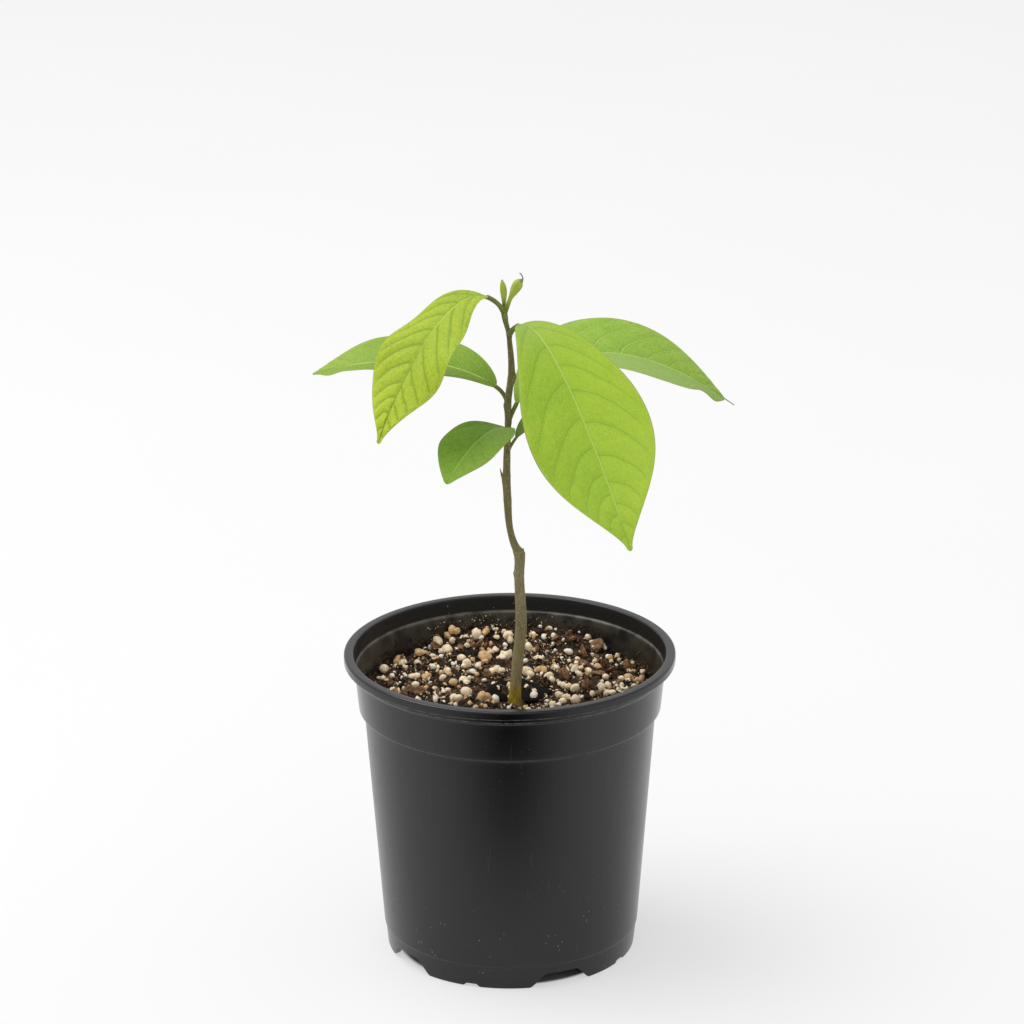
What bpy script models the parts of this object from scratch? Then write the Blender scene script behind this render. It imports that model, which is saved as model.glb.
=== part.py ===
"""A young broadleaf tree with one stem, growing in a round black nursery pot.

The origin is on the pot's axis, in the plane that the pot stands on, with +Z up.
Sizes are in millimetres times MM, so every coordinate is in metres.
"""

import math

import bmesh
import bpy
import numpy as np

MM = 0.001
GAP = 0.3 * MM

# The pot's outside, from the rolled lip down to the foot ring
POT_HEIGHT = 156.5 * MM
LIP_RADIUS = 82.5 * MM
LIP_DEPTH = 5.0 * MM
LIP_INNER_RADIUS = 77.7 * MM
LIP_EDGE_ROUND = 0.9 * MM
LIP_UNDERCUT = 1.6 * MM
COLLAR_RADIUS = 79.2 * MM
COLLAR_BOTTOM = 148.8 * MM
BAND_TOP_RADIUS = 77.3 * MM
BAND_TOP = 147.4 * MM
BAND_BOTTOM_RADIUS = 75.3 * MM
BAND_BOTTOM = 127.4 * MM
BODY_TOP_RADIUS = 72.7 * MM
BODY_TOP = 126.2 * MM
SEAM_RADIUS = 64.0 * MM
SEAM_HEIGHT = 12.4 * MM
SEAM_STEP = 0.5 * MM
FOOT_RADIUS = 62.3 * MM
WALL = 1.5 * MM
STEP_WALL = 1.2 * WALL
CORNER_WALL = 1.7 * WALL

# The pot's underside: a foot ring, a raised floor and a flat pad in the middle
FLOOR_TOP = 5.0 * MM
FLOOR_UNDERSIDE = 3.2 * MM
RING_INNER_RADIUS = 59.5 * MM
PAD_RADIUS = 18.0 * MM

# Drain notches through the foot ring and the floor's corner, and a shallow groove beside each
NOTCH_COUNT = 5
NOTCH_FIRST_ANGLE = -67.0
NOTCH_WIDTH = 17.0 * MM
NOTCH_HEIGHT = 5.4 * MM
NOTCH_INNER_RADIUS = 53.0 * MM
GROOVE_OFFSET_ANGLE = -38.5
GROOVE_WIDTH = 6.5 * MM
GROOVE_HEIGHT = 1.3 * MM
GROOVE_INNER_RADIUS = 58.0 * MM
CUTTER_OUTER_RADIUS = 70.0 * MM
CUTTER_DEPTH = 2.0 * MM
POT_STEPS = 60

# The potting mix: a lumpy top, heaped at the back, with a hollow round the stem
MIX_LEVEL = 131.8 * MM
MIX_HEAP = 3.2 * MM
MIX_LUMP = 1.1 * MM
MIX_LUMP_SPACING = 17.0 * MM
HOLLOW_LEVEL = 129.8 * MM
HOLLOW_RADIUS = 5.5 * MM
HOLLOW_REACH = 13.0 * MM
MIX_WALL_POINTS = 4
MIX_SPOKES = 44
MIX_RINGS = 10
MIX_RING_CROWDING = 1.25

# The stem's nodes from the soil to the fork: height, x, y and diameter, all in millimetres
STEM_NODES = (
    (130.1, 2.4, -10.0, 7.2),
    (134.0, 2.4, -10.2, 6.4),
    (155.0, 4.0, -11.2, 5.6),
    (173.0, 5.6, -12.0, 5.7),
    (200.0, 4.8, -11.8, 4.9),
    (211.0, 4.6, -11.3, 5.0),
    (217.0, 2.1, -10.2, 3.8),
    (240.0, -0.8, -9.0, 3.9),
    (256.0, -1.0, -9.2, 3.6),
    (278.0, -0.3, -10.0, 3.1),
    (290.0, -0.2, -10.3, 3.4),
    (304.0, 1.5, -10.0, 3.3),
    (318.0, 0.8, -9.8, 2.6),
    (324.5, 0.1, -10.0, 2.3),
    (330.0, -1.2, -10.1, 2.7),
    (335.2, -2.0, -10.0, 3.2),
)
STEM_RING_STEP = 4.2 * MM
STEM_SIDES = 12
STEM_TIP_ROUND = 1.4 * MM
STEM_TIP_SHARES = (0.8, 0.45)

# Side buds and leaf scars on the stem: height, direction in degrees, how far out, half length
STEM_BUDS = (
    (252.5, 180.0, 1.9, 3.4),
    (212.5, 0.0, 0.9, 2.4),
    (201.0, 180.0, 0.4, 1.2),
    (302.0, -10.0, 0.8, 2.6),
    (279.5, 35.0, 0.5, 2.2),
    (287.5, 160.0, 0.5, 2.2),
    (323.5, -45.0, 0.8, 1.8),
)
BUD_WIDTH_ANGLE = 34.0

# Each leaf: where its stalk leaves the stem, then stalk, blade and how both bend.
# Lengths are in millimetres and angles in degrees. Rise is the angle above the horizon,
# at the stalk's foot, where the blade starts, and what the blade's tip falls to; settle is the
# share of the blade over which it falls. Tilt rolls the blade about its midrib, and fold lifts
# its two halves. Widest, base and tip shape the outline.
LEAVES = {
    "leaf_upper_left": dict(
        height=334.4, heading=205.0, turn=39.0, stalk=13.0, stalk_turn=0.0,
        rise=(64.0, 26.0, -48.5), settle=0.14, length=96.5, width=41.0,
        widest=0.98, base=0.61, tip=1.21, tilt=(-2.5, -11.5), fold=2.6, curl=-0.04,
        wave=0.12, waves=2.4, wave_start=0.04, wave_offset=0.43,
    ),
    "leaf_front_right": dict(
        height=323.1, heading=-52.0, turn=-15.0, stalk=10.0, stalk_turn=0.0,
        rise=(54.0, 27.0, -46.5), settle=0.10, length=136.0, width=61.0,
        widest=1.09, base=0.66, tip=1.27, tilt=(6.0, 25.5), fold=5.0, curl=0.02,
        wave=-0.02, waves=1.9, wave_start=-0.05, wave_offset=0.49,
    ),
    "leaf_rear_right": dict(
        height=279.4, heading=33.5, turn=-17.5, stalk=9.2, stalk_turn=0.0,
        rise=(56.5, 59.5, -47.5), settle=0.41, length=135.5, width=57.5,
        widest=0.96, base=0.82, tip=1.14, tilt=(-2.0, 32.0), fold=11.7, curl=-0.02,
        wave=0.02, waves=1.8, wave_start=-0.07, wave_offset=0.62,
    ),
    "leaf_rear_left": dict(
        height=287.0, heading=159.5, turn=13.5, stalk=11.7, stalk_turn=0.0,
        rise=(84.0, 28.5, -30.5), settle=0.66, length=95.0, width=40.7,
        widest=0.98, base=0.60, tip=0.98, tilt=(-10.5, -10.5), fold=13.9, curl=-0.01,
        wave=0.06, waves=1.7, wave_start=0.04, wave_offset=0.40,
    ),
    "leaf_lower_left": dict(
        height=270.7, heading=233.5, turn=8.0, stalk=10.4, stalk_turn=97.0,
        rise=(61.0, 24.5, -38.0), settle=0.47, length=59.0, width=33.3,
        widest=0.94, base=0.77, tip=0.86, tilt=(-0.5, -5.5), fold=7.8, curl=-0.01,
        wave=0.05, waves=2.1, wave_start=-0.01, wave_offset=1.34,
    ),
    "leaf_small_right": dict(
        height=262.5, heading=8.0, turn=6.0, stalk=8.5, stalk_turn=0.0,
        rise=(66.0, 55.0, 5.0), settle=0.50, length=36.0, width=19.0,
        widest=1.00, base=0.75, tip=0.95, tilt=(10.0, 10.0), fold=14.0, curl=0.0,
        wave=0.05, waves=1.5, wave_start=0.0, wave_offset=0.50,
    ),
}
STALK_RADIUS_SHARE = 0.0095
STALK_RADIUS_MIN = 0.72 * MM
TIP_RADIUS = 0.35 * MM
LEAF_THICKNESS_SHARE = 0.011
LEAF_SECTION_POINTS = 16
LEAF_SECTION_SQUARENESS = 0.6
STALK_STATIONS = 5
BLADE_STATIONS = 20
BLADE_CROWDING = 1.25
SPINE_STEPS = 400

# The two young shoots at the fork. Each station: x, y, height and diameter in millimetres
SHOOTS = {
    "shoot_narrow": (
        (-2.3, -9.2, 336.0, 0.9),
        (-2.1, -8.9, 339.0, 1.1),
        (-1.9, -8.8, 342.5, 2.2),
        (-2.0, -8.8, 345.5, 2.7),
        (-2.3, -8.9, 348.0, 1.9),
        (-2.6, -9.0, 350.5, 0.4),
    ),
    "shoot_broad": (
        (-1.2, -10.6, 335.4, 1.4),
        (0.0, -10.8, 338.8, 1.7),
        (1.3, -10.9, 342.2, 2.1),
        (2.7, -11.0, 345.0, 3.4),
        (4.2, -11.0, 347.6, 4.5),
        (5.6, -11.0, 349.8, 3.9),
        (6.8, -11.0, 350.9, 1.6),
        (7.3, -11.0, 351.6, 0.8),
        (6.9, -11.0, 352.9, 0.6),
        (6.4, -11.0, 353.8, 0.6),
        (5.6, -11.0, 354.6, 0.5),
    ),
}
SHOOT_SIDES = 10

# Colour, roughness and metallic value of each sub-part
SMOOTH_ANGLE = 60.0
POT_SMOOTH_ANGLE = 30.0
FINISHES = {
    "nursery_pot": ((0.018, 0.018, 0.020), 0.48, 0.0),
    "potting_mix": ((0.075, 0.045, 0.028), 0.95, 0.0),
    "trunk": ((0.135, 0.110, 0.055), 0.70, 0.0),
    "leaf_upper_left": ((0.42, 0.60, 0.07), 0.50, 0.0),
    "leaf_front_right": ((0.33, 0.56, 0.06), 0.48, 0.0),
    "leaf_rear_right": ((0.24, 0.46, 0.08), 0.50, 0.0),
    "leaf_rear_left": ((0.20, 0.42, 0.07), 0.50, 0.0),
    "leaf_lower_left": ((0.12, 0.30, 0.05), 0.45, 0.0),
    "leaf_small_right": ((0.16, 0.34, 0.06), 0.48, 0.0),
    "shoot_narrow": ((0.34, 0.48, 0.10), 0.55, 0.0),
    "shoot_broad": ((0.32, 0.45, 0.07), 0.55, 0.0),
}


def clear_scene():
    """Remove every object, so that the model starts in an empty scene."""
    for old in list(bpy.data.objects):
        bpy.data.objects.remove(old, do_unlink=True)


def new_collection(name):
    """Make a collection under the scene's own."""
    group = bpy.data.collections.new(name)
    bpy.context.scene.collection.children.link(group)
    return group


def give_material(part):
    """Give a part the Principled material that its finish names."""
    colour, roughness, metallic = FINISHES[part.name]
    material = bpy.data.materials.new(part.name)
    material.use_nodes = True
    shader = material.node_tree.nodes["Principled BSDF"]
    shader.inputs["Base Color"].default_value = (*colour, 1.0)
    shader.inputs["Roughness"].default_value = roughness
    shader.inputs["Metallic"].default_value = metallic
    part.data.materials.append(material)


def finish_part(part, group, sharp_angle):
    """Shade a part smooth apart from its edges, colour it and file it in its collection."""
    part.data.shade_smooth()
    part.data.set_sharp_from_angle(angle=math.radians(sharp_angle))
    give_material(part)
    group.objects.link(part)


def loft(name, rings):
    """Skin a row of closed rings, given as an array of (ring, point, xyz), and cap both ends."""
    sides = rings.shape[1]
    shape = bmesh.new()
    rows = []
    for ring in rings:
        rows.append([shape.verts.new(point) for point in ring])
    for low, high in zip(rows, rows[1:]):
        for side in range(sides):
            after = (side + 1) % sides
            shape.faces.new((low[side], low[after], high[after], high[side]))
    shape.faces.new(rows[0])
    shape.faces.new(rows[-1])
    bmesh.ops.triangulate(shape, faces=shape.faces[:], quad_method="SHORT_EDGE")
    bmesh.ops.recalc_face_normals(shape, faces=shape.faces[:])
    mesh = bpy.data.meshes.new(name)
    shape.to_mesh(mesh)
    shape.free()
    return bpy.data.objects.new(name, mesh)


def cut(part, cutter, group):
    """Take a cutter's shape out of a part."""
    cutter.display_type = "WIRE"
    cutter.hide_render = True
    group.objects.link(cutter)
    boolean = part.modifiers.new(cutter.name, "BOOLEAN")
    boolean.operation = "DIFFERENCE"
    boolean.object = cutter


def block(name, low_radius, high_radius, width, height, angle):
    """A box that lies along a radius, from under the pot up to a height."""
    shape = bmesh.new()
    bmesh.ops.create_cube(shape, size=1.0)
    for vert in shape.verts:
        along = low_radius + (vert.co.x + 0.5) * (high_radius - low_radius)
        across = vert.co.y * width
        upward = (vert.co.z + 0.5) * (height + CUTTER_DEPTH) - CUTTER_DEPTH
        vert.co = (along, across, upward)
    mesh = bpy.data.meshes.new(name)
    shape.to_mesh(mesh)
    shape.free()
    part = bpy.data.objects.new(name, mesh)
    part.rotation_euler.z = math.radians(angle)
    return part


def pot_inside():
    """The inner wall as (radius, height), from the floor's corner up to the lip."""
    return (
        (SEAM_RADIUS - CORNER_WALL, FLOOR_TOP),
        (SEAM_RADIUS - WALL, FLOOR_TOP + WALL),
        (BODY_TOP_RADIUS - WALL, BODY_TOP - 0.5 * WALL),
        (BAND_BOTTOM_RADIUS - STEP_WALL, BAND_BOTTOM),
        (BAND_TOP_RADIUS - STEP_WALL, BAND_TOP - 0.5 * WALL),
        (COLLAR_RADIUS - STEP_WALL, COLLAR_BOTTOM),
        (LIP_INNER_RADIUS, POT_HEIGHT - LIP_EDGE_ROUND),
    )


def make_pot(parts, cutters):
    """The turned shell, with its drain notches and grooves cut from below."""
    lip_bottom = POT_HEIGHT - LIP_DEPTH
    profile = [(0.0, FLOOR_TOP)]
    profile += pot_inside()
    profile += [
        (LIP_INNER_RADIUS + LIP_EDGE_ROUND, POT_HEIGHT),
        (LIP_RADIUS - LIP_EDGE_ROUND, POT_HEIGHT),
        (LIP_RADIUS, POT_HEIGHT - LIP_EDGE_ROUND),
        (LIP_RADIUS, lip_bottom),
        (LIP_RADIUS - LIP_UNDERCUT, lip_bottom),
        (COLLAR_RADIUS, lip_bottom + LIP_UNDERCUT),
        (COLLAR_RADIUS, COLLAR_BOTTOM),
        (BAND_TOP_RADIUS, BAND_TOP),
        (BAND_BOTTOM_RADIUS, BAND_BOTTOM),
        (BODY_TOP_RADIUS, BODY_TOP),
        (SEAM_RADIUS, SEAM_HEIGHT),
        (SEAM_RADIUS - SEAM_STEP, SEAM_HEIGHT - SEAM_STEP),
        (FOOT_RADIUS, SEAM_STEP),
        (FOOT_RADIUS - SEAM_STEP, 0.0),
        (RING_INNER_RADIUS, 0.0),
        (RING_INNER_RADIUS, FLOOR_UNDERSIDE),
        (PAD_RADIUS, FLOOR_UNDERSIDE),
        (PAD_RADIUS, 0.0),
        (0.0, 0.0),
    ]
    points = [(radius, 0.0, height) for radius, height in profile]
    edges = [(index, index + 1) for index in range(len(points) - 1)]
    mesh = bpy.data.meshes.new("nursery_pot")
    mesh.from_pydata(points, edges, [])
    pot = bpy.data.objects.new("nursery_pot", mesh)
    screw = pot.modifiers.new("turn", "SCREW")
    screw.steps = POT_STEPS
    screw.render_steps = POT_STEPS
    screw.use_merge_vertices = True
    screw.merge_threshold = 0.00001
    for index in range(NOTCH_COUNT):
        angle = NOTCH_FIRST_ANGLE + index * 360.0 / NOTCH_COUNT
        notch = block(
            f"notch_{index}", NOTCH_INNER_RADIUS, CUTTER_OUTER_RADIUS,
            NOTCH_WIDTH, NOTCH_HEIGHT, angle,
        )
        cut(pot, notch, cutters)
        groove = block(
            f"groove_{index}", GROOVE_INNER_RADIUS, CUTTER_OUTER_RADIUS,
            GROOVE_WIDTH, GROOVE_HEIGHT, angle + GROOVE_OFFSET_ANGLE,
        )
        cut(pot, groove, cutters)
    finish_part(pot, parts, POT_SMOOTH_ANGLE)


def inner_radius(height):
    """The radius of the pot's inner wall at a height."""
    radii, heights = zip(*pot_inside())
    return np.interp(height, heights, radii)


def mix_height(x, y):
    """The top of the potting mix: a level, a heap at the back, lumps, and the stem's hollow.

    The lumps are a broad egg-box pattern with slanted ripples on it, about half as far apart.
    """
    pitch = 2.0 * math.pi / MIX_LUMP_SPACING
    ripple = 2.0 * pitch * (x + y) / math.sqrt(2.0)
    lumps = np.sin(pitch * x) * np.cos(pitch * y) + 0.5 * np.sin(ripple)
    heap = MIX_HEAP * np.clip(y / LIP_RADIUS, 0.0, 1.0) ** 2
    open_top = MIX_LEVEL + heap + MIX_LUMP * lumps
    foot = stem_place(HOLLOW_LEVEL)
    away = np.hypot(x - foot[0], y - foot[1])
    share = np.clip((away - HOLLOW_RADIUS) / (HOLLOW_REACH - HOLLOW_RADIUS), 0.0, 1.0)
    share = share * share * (3.0 - 2.0 * share)
    return HOLLOW_LEVEL + (open_top - HOLLOW_LEVEL) * share


def make_mix(parts):
    """The fill: it follows the wall from the floor up, and its top's rings shrink to the stem."""
    turn = np.arange(MIX_SPOKES) * 2.0 * math.pi / MIX_SPOKES
    way = np.stack([np.cos(turn), np.sin(turn)], axis=-1)
    rings = []
    inside = pot_inside()
    for radius, height in inside[:MIX_WALL_POINTS]:
        edge = (radius - GAP) * way
        level = np.full((MIX_SPOKES, 1), height + GAP)
        rings.append(np.hstack([edge, level]))
    edge = (inner_radius(MIX_LEVEL) - GAP) * way
    top = mix_height(edge[:, 0], edge[:, 1])
    edge = (inner_radius(top) - GAP)[:, None] * way
    foot = stem_place(HOLLOW_LEVEL)[:2]
    shares = (1.0 - np.arange(MIX_RINGS) / MIX_RINGS) ** MIX_RING_CROWDING
    for share in shares:
        spread = foot + (edge - foot) * share
        level = mix_height(spread[:, 0], spread[:, 1])
        rings.append(np.column_stack([spread, level]))
    finish_part(loft("potting_mix", np.array(rings)), parts, SMOOTH_ANGLE)


def smooth_through(at, places, values):
    """A smooth curve through a few values: cubic pieces whose slopes are the mean of both sides."""
    places = np.asarray(places)
    values = np.asarray(values)
    slopes = np.gradient(values, places)
    index = np.clip(np.searchsorted(places, at) - 1, 0, len(places) - 2)
    span = places[index + 1] - places[index]
    share = np.clip((at - places[index]) / span, 0.0, 1.0)
    start = values[index]
    rest = values[index + 1]
    ease = share * share * (3.0 - 2.0 * share)
    lead = share * (1.0 - share) ** 2
    trail = share * share * (share - 1.0)
    return start + (rest - start) * ease + span * (lead * slopes[index] + trail * slopes[index + 1])


def stem_place(height):
    """The stem's centre at a height, or at each of several, as (x, y, height)."""
    heights, aside, depth, _ = np.array(STEM_NODES).T * MM
    x = smooth_through(height, heights, aside)
    y = smooth_through(height, heights, depth)
    return np.stack([x, y, height + 0.0 * x], axis=-1)


def stem_radius(height):
    """The stem's radius at a height, without its buds."""
    heights, _, _, sizes = np.array(STEM_NODES).T * MM
    return smooth_through(height, heights, sizes) / 2.0


def stem_rings(extra, low, high):
    """Rings up the stem between two heights, each point pushed out by extra and by the buds."""
    count = 1 + round((high - low) / STEM_RING_STEP)
    heights = np.linspace(low, high, count)
    turn = np.arange(STEM_SIDES) * 2.0 * math.pi / STEM_SIDES
    radius = np.repeat(stem_radius(heights)[:, None], STEM_SIDES, axis=1)
    for height, direction, out, reach in STEM_BUDS:
        along = (heights[:, None] - height * MM) / (reach * MM)
        aside = turn[None, :] - math.radians(direction)
        aside = (aside + math.pi) % (2.0 * math.pi) - math.pi
        aside = aside / math.radians(BUD_WIDTH_ANGLE)
        radius = radius + out * MM * np.exp(-along**2 - aside**2)
    radius = (radius + extra)[..., None]
    way = np.stack([np.cos(turn), np.sin(turn), 0.0 * turn], axis=-1)
    rings = stem_place(heights)[:, None, :] + radius * way
    last = rings[-1]
    middle = last.mean(axis=0)
    crowns = []
    for share in STEM_TIP_SHARES:
        crown = middle + (last - middle) * share
        crown[:, 2] = high + (STEM_TIP_ROUND + extra) * math.sqrt(1.0 - share * share)
        crowns.append(crown)
    return np.concatenate([rings, crowns])


def make_trunk(parts):
    """The stem, cut flat at the soil and rounded over at the fork."""
    low = HOLLOW_LEVEL + GAP
    high = STEM_NODES[-1][0] * MM
    finish_part(loft("trunk", stem_rings(0.0, low, high)), parts, SMOOTH_ANGLE)


def stem_clearance(name):
    """The stem grown by the gap, which trims the foot of whatever grows on it."""
    low = HOLLOW_LEVEL - GAP
    high = STEM_NODES[-1][0] * MM
    return loft(name, stem_rings(GAP, low, high))


def leaf_spine(leaf):
    """Fine steps along stalk and midrib: arc length, place, and the three directions there."""
    stalk = leaf["stalk"] * MM
    length = leaf["length"] * MM
    arc = np.linspace(0.0, stalk + length, SPINE_STEPS)
    on_stalk = np.clip(arc / stalk, 0.0, 1.0)
    on_blade = np.clip((arc - stalk) / length, 0.0, 1.0)
    foot_rise, blade_rise, tip_rise = np.radians(leaf["rise"])
    rise = foot_rise + (blade_rise - foot_rise) * on_stalk
    rise = rise + (tip_rise - blade_rise) * (1.0 - np.exp(-on_blade / leaf["settle"]))
    heading = leaf["heading"] + leaf["stalk_turn"] * (1.0 - on_stalk) + leaf["turn"] * on_blade
    heading = np.radians(heading)
    level = np.cos(rise)
    along = np.stack([level * np.cos(heading), level * np.sin(heading), np.sin(rise)], axis=-1)
    step = 0.5 * (along[1:] + along[:-1]) * arc[1]
    foot = stem_place(leaf["height"] * MM)
    place = foot + np.vstack([np.zeros(3), np.cumsum(step, axis=0)])
    flat = np.stack([-np.sin(heading), np.cos(heading), np.zeros(SPINE_STEPS)], axis=-1)
    up = np.cross(along, flat)
    first_tilt, last_tilt = np.radians(leaf["tilt"])
    tilt = first_tilt + (last_tilt - first_tilt) * on_blade
    aside = np.cos(tilt)[:, None] * flat + np.sin(tilt)[:, None] * up
    upward = np.cos(tilt)[:, None] * up - np.sin(tilt)[:, None] * flat
    return arc, place, aside, upward


def leaf_half_width(leaf, share):
    """Half the blade's width: a sine arch, whose power runs from base to tip for its two ends."""
    along = np.clip(share, 0.0, 1.0) ** leaf["widest"]
    power = leaf["base"] + (leaf["tip"] - leaf["base"]) * along
    return 0.5 * leaf["width"] * MM * np.sin(math.pi * along) ** power


def leaf_lift(leaf, share, across, half_width):
    """How far the blade stands above its midrib: its fold, its curl and the wave of its edge."""
    fold = math.sin(math.radians(leaf["fold"])) * np.abs(across)
    phase = 2.0 * math.pi * (leaf["waves"] * share + leaf["wave_start"])
    wave = leaf["wave"] * np.sin(phase + leaf["wave_offset"] * np.sign(across))
    return half_width * (fold + (leaf["curl"] + wave) * across**2)


def make_leaf(name, leaf, parts, cutters):
    """One leaf: sections that start round at the stalk and flatten into the blade."""
    stalk = leaf["stalk"] * MM
    length = leaf["length"] * MM
    thickness = LEAF_THICKNESS_SHARE * length
    stalk_radius = max(STALK_RADIUS_MIN, STALK_RADIUS_SHARE * length)
    arc, place, aside, upward = leaf_spine(leaf)
    on_stalk = np.linspace(0.0, 1.0, STALK_STATIONS, endpoint=False) * stalk
    on_blade = np.linspace(0.0, 1.0, BLADE_STATIONS) ** BLADE_CROWDING
    stations = np.concatenate([on_stalk, stalk + on_blade * length])
    share = (stations - stalk) / length
    turn = np.arange(LEAF_SECTION_POINTS) * 2.0 * math.pi / LEAF_SECTION_POINTS
    across = np.cos(turn)
    round_share = np.sin(turn)
    flat_share = np.sign(round_share) * np.abs(round_share) ** LEAF_SECTION_SQUARENESS
    blade = leaf_half_width(leaf, share)
    core = np.interp(share, (0.0, 0.5, 1.0), (stalk_radius, 0.5 * thickness, TIP_RADIUS))
    half_width = np.hypot(blade, core)
    half_depth = np.maximum(core, np.minimum(0.5 * thickness, half_width))
    half_depth[-1] = TIP_RADIUS
    mix = np.clip(blade / (2.0 * stalk_radius), 0.0, 1.0)[:, None]
    depth = half_depth[:, None] * (round_share + (flat_share - round_share) * mix)
    lift = leaf_lift(leaf, share[:, None], across[None, :], blade[:, None])
    flatten = math.cos(math.radians(leaf["fold"]))
    rings = np.empty((len(stations), LEAF_SECTION_POINTS, 3))
    for axis in range(3):
        middle = np.interp(stations, arc, place[:, axis])[:, None]
        side = np.interp(stations, arc, aside[:, axis])[:, None]
        top = np.interp(stations, arc, upward[:, axis])[:, None]
        sideways = half_width[:, None] * across * flatten
        rings[..., axis] = middle + side * sideways + top * (lift + depth)
    part = loft(name, rings)
    cut(part, stem_clearance(f"{name}_foot_trim"), cutters)
    finish_part(part, parts, SMOOTH_ANGLE)


def make_shoot(name, stations, parts, cutters):
    """A young shoot: round sections, level across, along a few chosen places."""
    turn = np.arange(SHOOT_SIDES) * 2.0 * math.pi / SHOOT_SIDES
    table = np.array(stations) * MM
    way = np.gradient(table[:, :3], axis=0)
    way = way / np.linalg.norm(way, axis=1)[:, None]
    depth_axis = np.array([0.0, 1.0, 0.0])
    side = np.cross(depth_axis, way)
    side = side / np.linalg.norm(side, axis=1)[:, None]
    other = np.cross(way, side)
    radius = table[:, 3] / 2.0
    rings = table[:, None, :3] + radius[:, None, None] * (
        np.cos(turn)[None, :, None] * side[:, None, :]
        + np.sin(turn)[None, :, None] * other[:, None, :]
    )
    part = loft(name, rings)
    cut(part, stem_clearance(f"{name}_foot_trim"), cutters)
    finish_part(part, parts, SMOOTH_ANGLE)


def main():
    """Build the whole plant and its pot."""
    clear_scene()
    parts = new_collection("potted_young_tree")
    cutters = new_collection("cutters")
    make_pot(parts, cutters)
    make_mix(parts)
    make_trunk(parts)
    for name, leaf in LEAVES.items():
        make_leaf(name, leaf, parts, cutters)
    for name, stations in SHOOTS.items():
        make_shoot(name, stations, parts, cutters)


main()
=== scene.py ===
# %% [markdown]
# # A young tree in a nursery pot
# This lesson dresses a plain model of a seedling and its pot until it looks like the real
# thing. The plain model comes first, as a frame: it has every part at its real size and in
# its real place, and nothing here moves it. All lengths are in metres, and MM turns a size
# in millimetres into metres. The pot stands on the plane z = 0 and its axis is x = y = 0.

# %% Load the frame
import itertools
import math

import bpy
import numpy as np
from mathutils import Matrix, Vector


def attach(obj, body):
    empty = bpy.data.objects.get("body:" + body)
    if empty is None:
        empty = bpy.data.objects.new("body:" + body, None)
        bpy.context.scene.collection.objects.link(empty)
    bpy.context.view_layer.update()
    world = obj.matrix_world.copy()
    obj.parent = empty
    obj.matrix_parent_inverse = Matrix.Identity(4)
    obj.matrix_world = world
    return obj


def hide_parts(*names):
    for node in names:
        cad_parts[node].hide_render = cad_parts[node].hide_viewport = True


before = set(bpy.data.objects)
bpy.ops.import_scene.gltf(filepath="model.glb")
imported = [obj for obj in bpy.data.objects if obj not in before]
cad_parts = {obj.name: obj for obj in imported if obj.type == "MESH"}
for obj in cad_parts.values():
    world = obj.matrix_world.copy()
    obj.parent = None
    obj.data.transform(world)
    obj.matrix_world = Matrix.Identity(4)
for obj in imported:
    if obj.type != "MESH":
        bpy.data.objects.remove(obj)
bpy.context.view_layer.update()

MM = 0.001
BODY = "root"
print("nodes in the frame:", sorted(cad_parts))

# %% [markdown]
# ## The camera
# A long lens from two metres away keeps the pot's sides nearly parallel, as in a catalogue
# picture. The lens is given by its focal length on a 36 mm wide sensor, and the camera looks
# down on the plant by about twenty degrees. Three turns place it: down, a trace of heading,
# and a trace of roll.

# %% Camera
CAMERA_DISTANCE = 2.086
CAMERA_HEIGHT = 0.968
CAMERA_LENS = 158.2
CAMERA_DOWN = math.radians(19.51)
CAMERA_ROLL = math.radians(-0.27)
CAMERA_HEADING = math.radians(0.04)


def make_camera():
    """A camera in front of the plant, turned down from level and rolled a little."""
    data = bpy.data.cameras.new("camera")
    data.lens = CAMERA_LENS
    data.sensor_width = 36.0
    camera = bpy.data.objects.new("camera", data)
    place = Matrix.Translation((0.0, -CAMERA_DISTANCE, CAMERA_HEIGHT))
    heading = Matrix.Rotation(-CAMERA_HEADING, 4, "Z")
    down = Matrix.Rotation(math.pi / 2.0 - CAMERA_DOWN, 4, "X")
    camera.matrix_world = place @ heading @ down @ Matrix.Rotation(CAMERA_ROLL, 4, "Z")
    bpy.context.scene.collection.objects.link(camera)
    bpy.context.scene.camera = camera
    return camera


camera = make_camera()
print("camera at", tuple(round(value, 3) for value in camera.location))

# %% [markdown]
# ## Numbers into meshes
# Almost every piece below is a row of closed rings: a pot is rings round an axis, a stem is
# rings along a line, and a leaf is flat rings along its midrib. So one function skins a row
# of rings with quads, closes both ends with a fan of triangles round a middle point, and
# turns the whole thing the right way out by the sign of its volume. The arrays go into the
# mesh in one call each, which is far quicker than adding points one by one.

# %% Mesh helpers
def ring_quads(rows, sides):
    """The four corners of every quad between each ring and the next, going round."""
    low = np.arange(rows - 1)[:, None] * sides
    here = np.arange(sides)[None, :]
    after = (here + 1) % sides
    quad = [low + here, low + after, low + sides + after, low + sides + here]
    return np.stack(np.broadcast_arrays(*quad), axis=-1).reshape(-1, 4)


def ring_quad_uvs(rows, sides):
    """The same corners as shares round (u) and along (v), so that the seam closes at u = 1."""
    low = np.arange(rows - 1)[:, None] / (rows - 1)
    here = np.arange(sides)[None, :] / sides
    step_u = 1.0 / sides
    step_v = 1.0 / (rows - 1)
    u = [here, here + step_u, here + step_u, here]
    v = [low, low, low + step_v, low + step_v]
    u = np.stack(np.broadcast_arrays(*(item + 0.0 * low for item in u)), axis=-1)
    v = np.stack(np.broadcast_arrays(*(item + 0.0 * here for item in v)), axis=-1)
    return np.stack([u, v], axis=-1).reshape(-1, 2)


def signed_volume(points, triangles):
    """Six times the volume that the triangles close in; it is negative if they face inwards."""
    a, b, c = (points[triangles[:, corner]] for corner in range(3))
    return float(np.einsum("ij,ij->", a, np.cross(b, c)))


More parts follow.
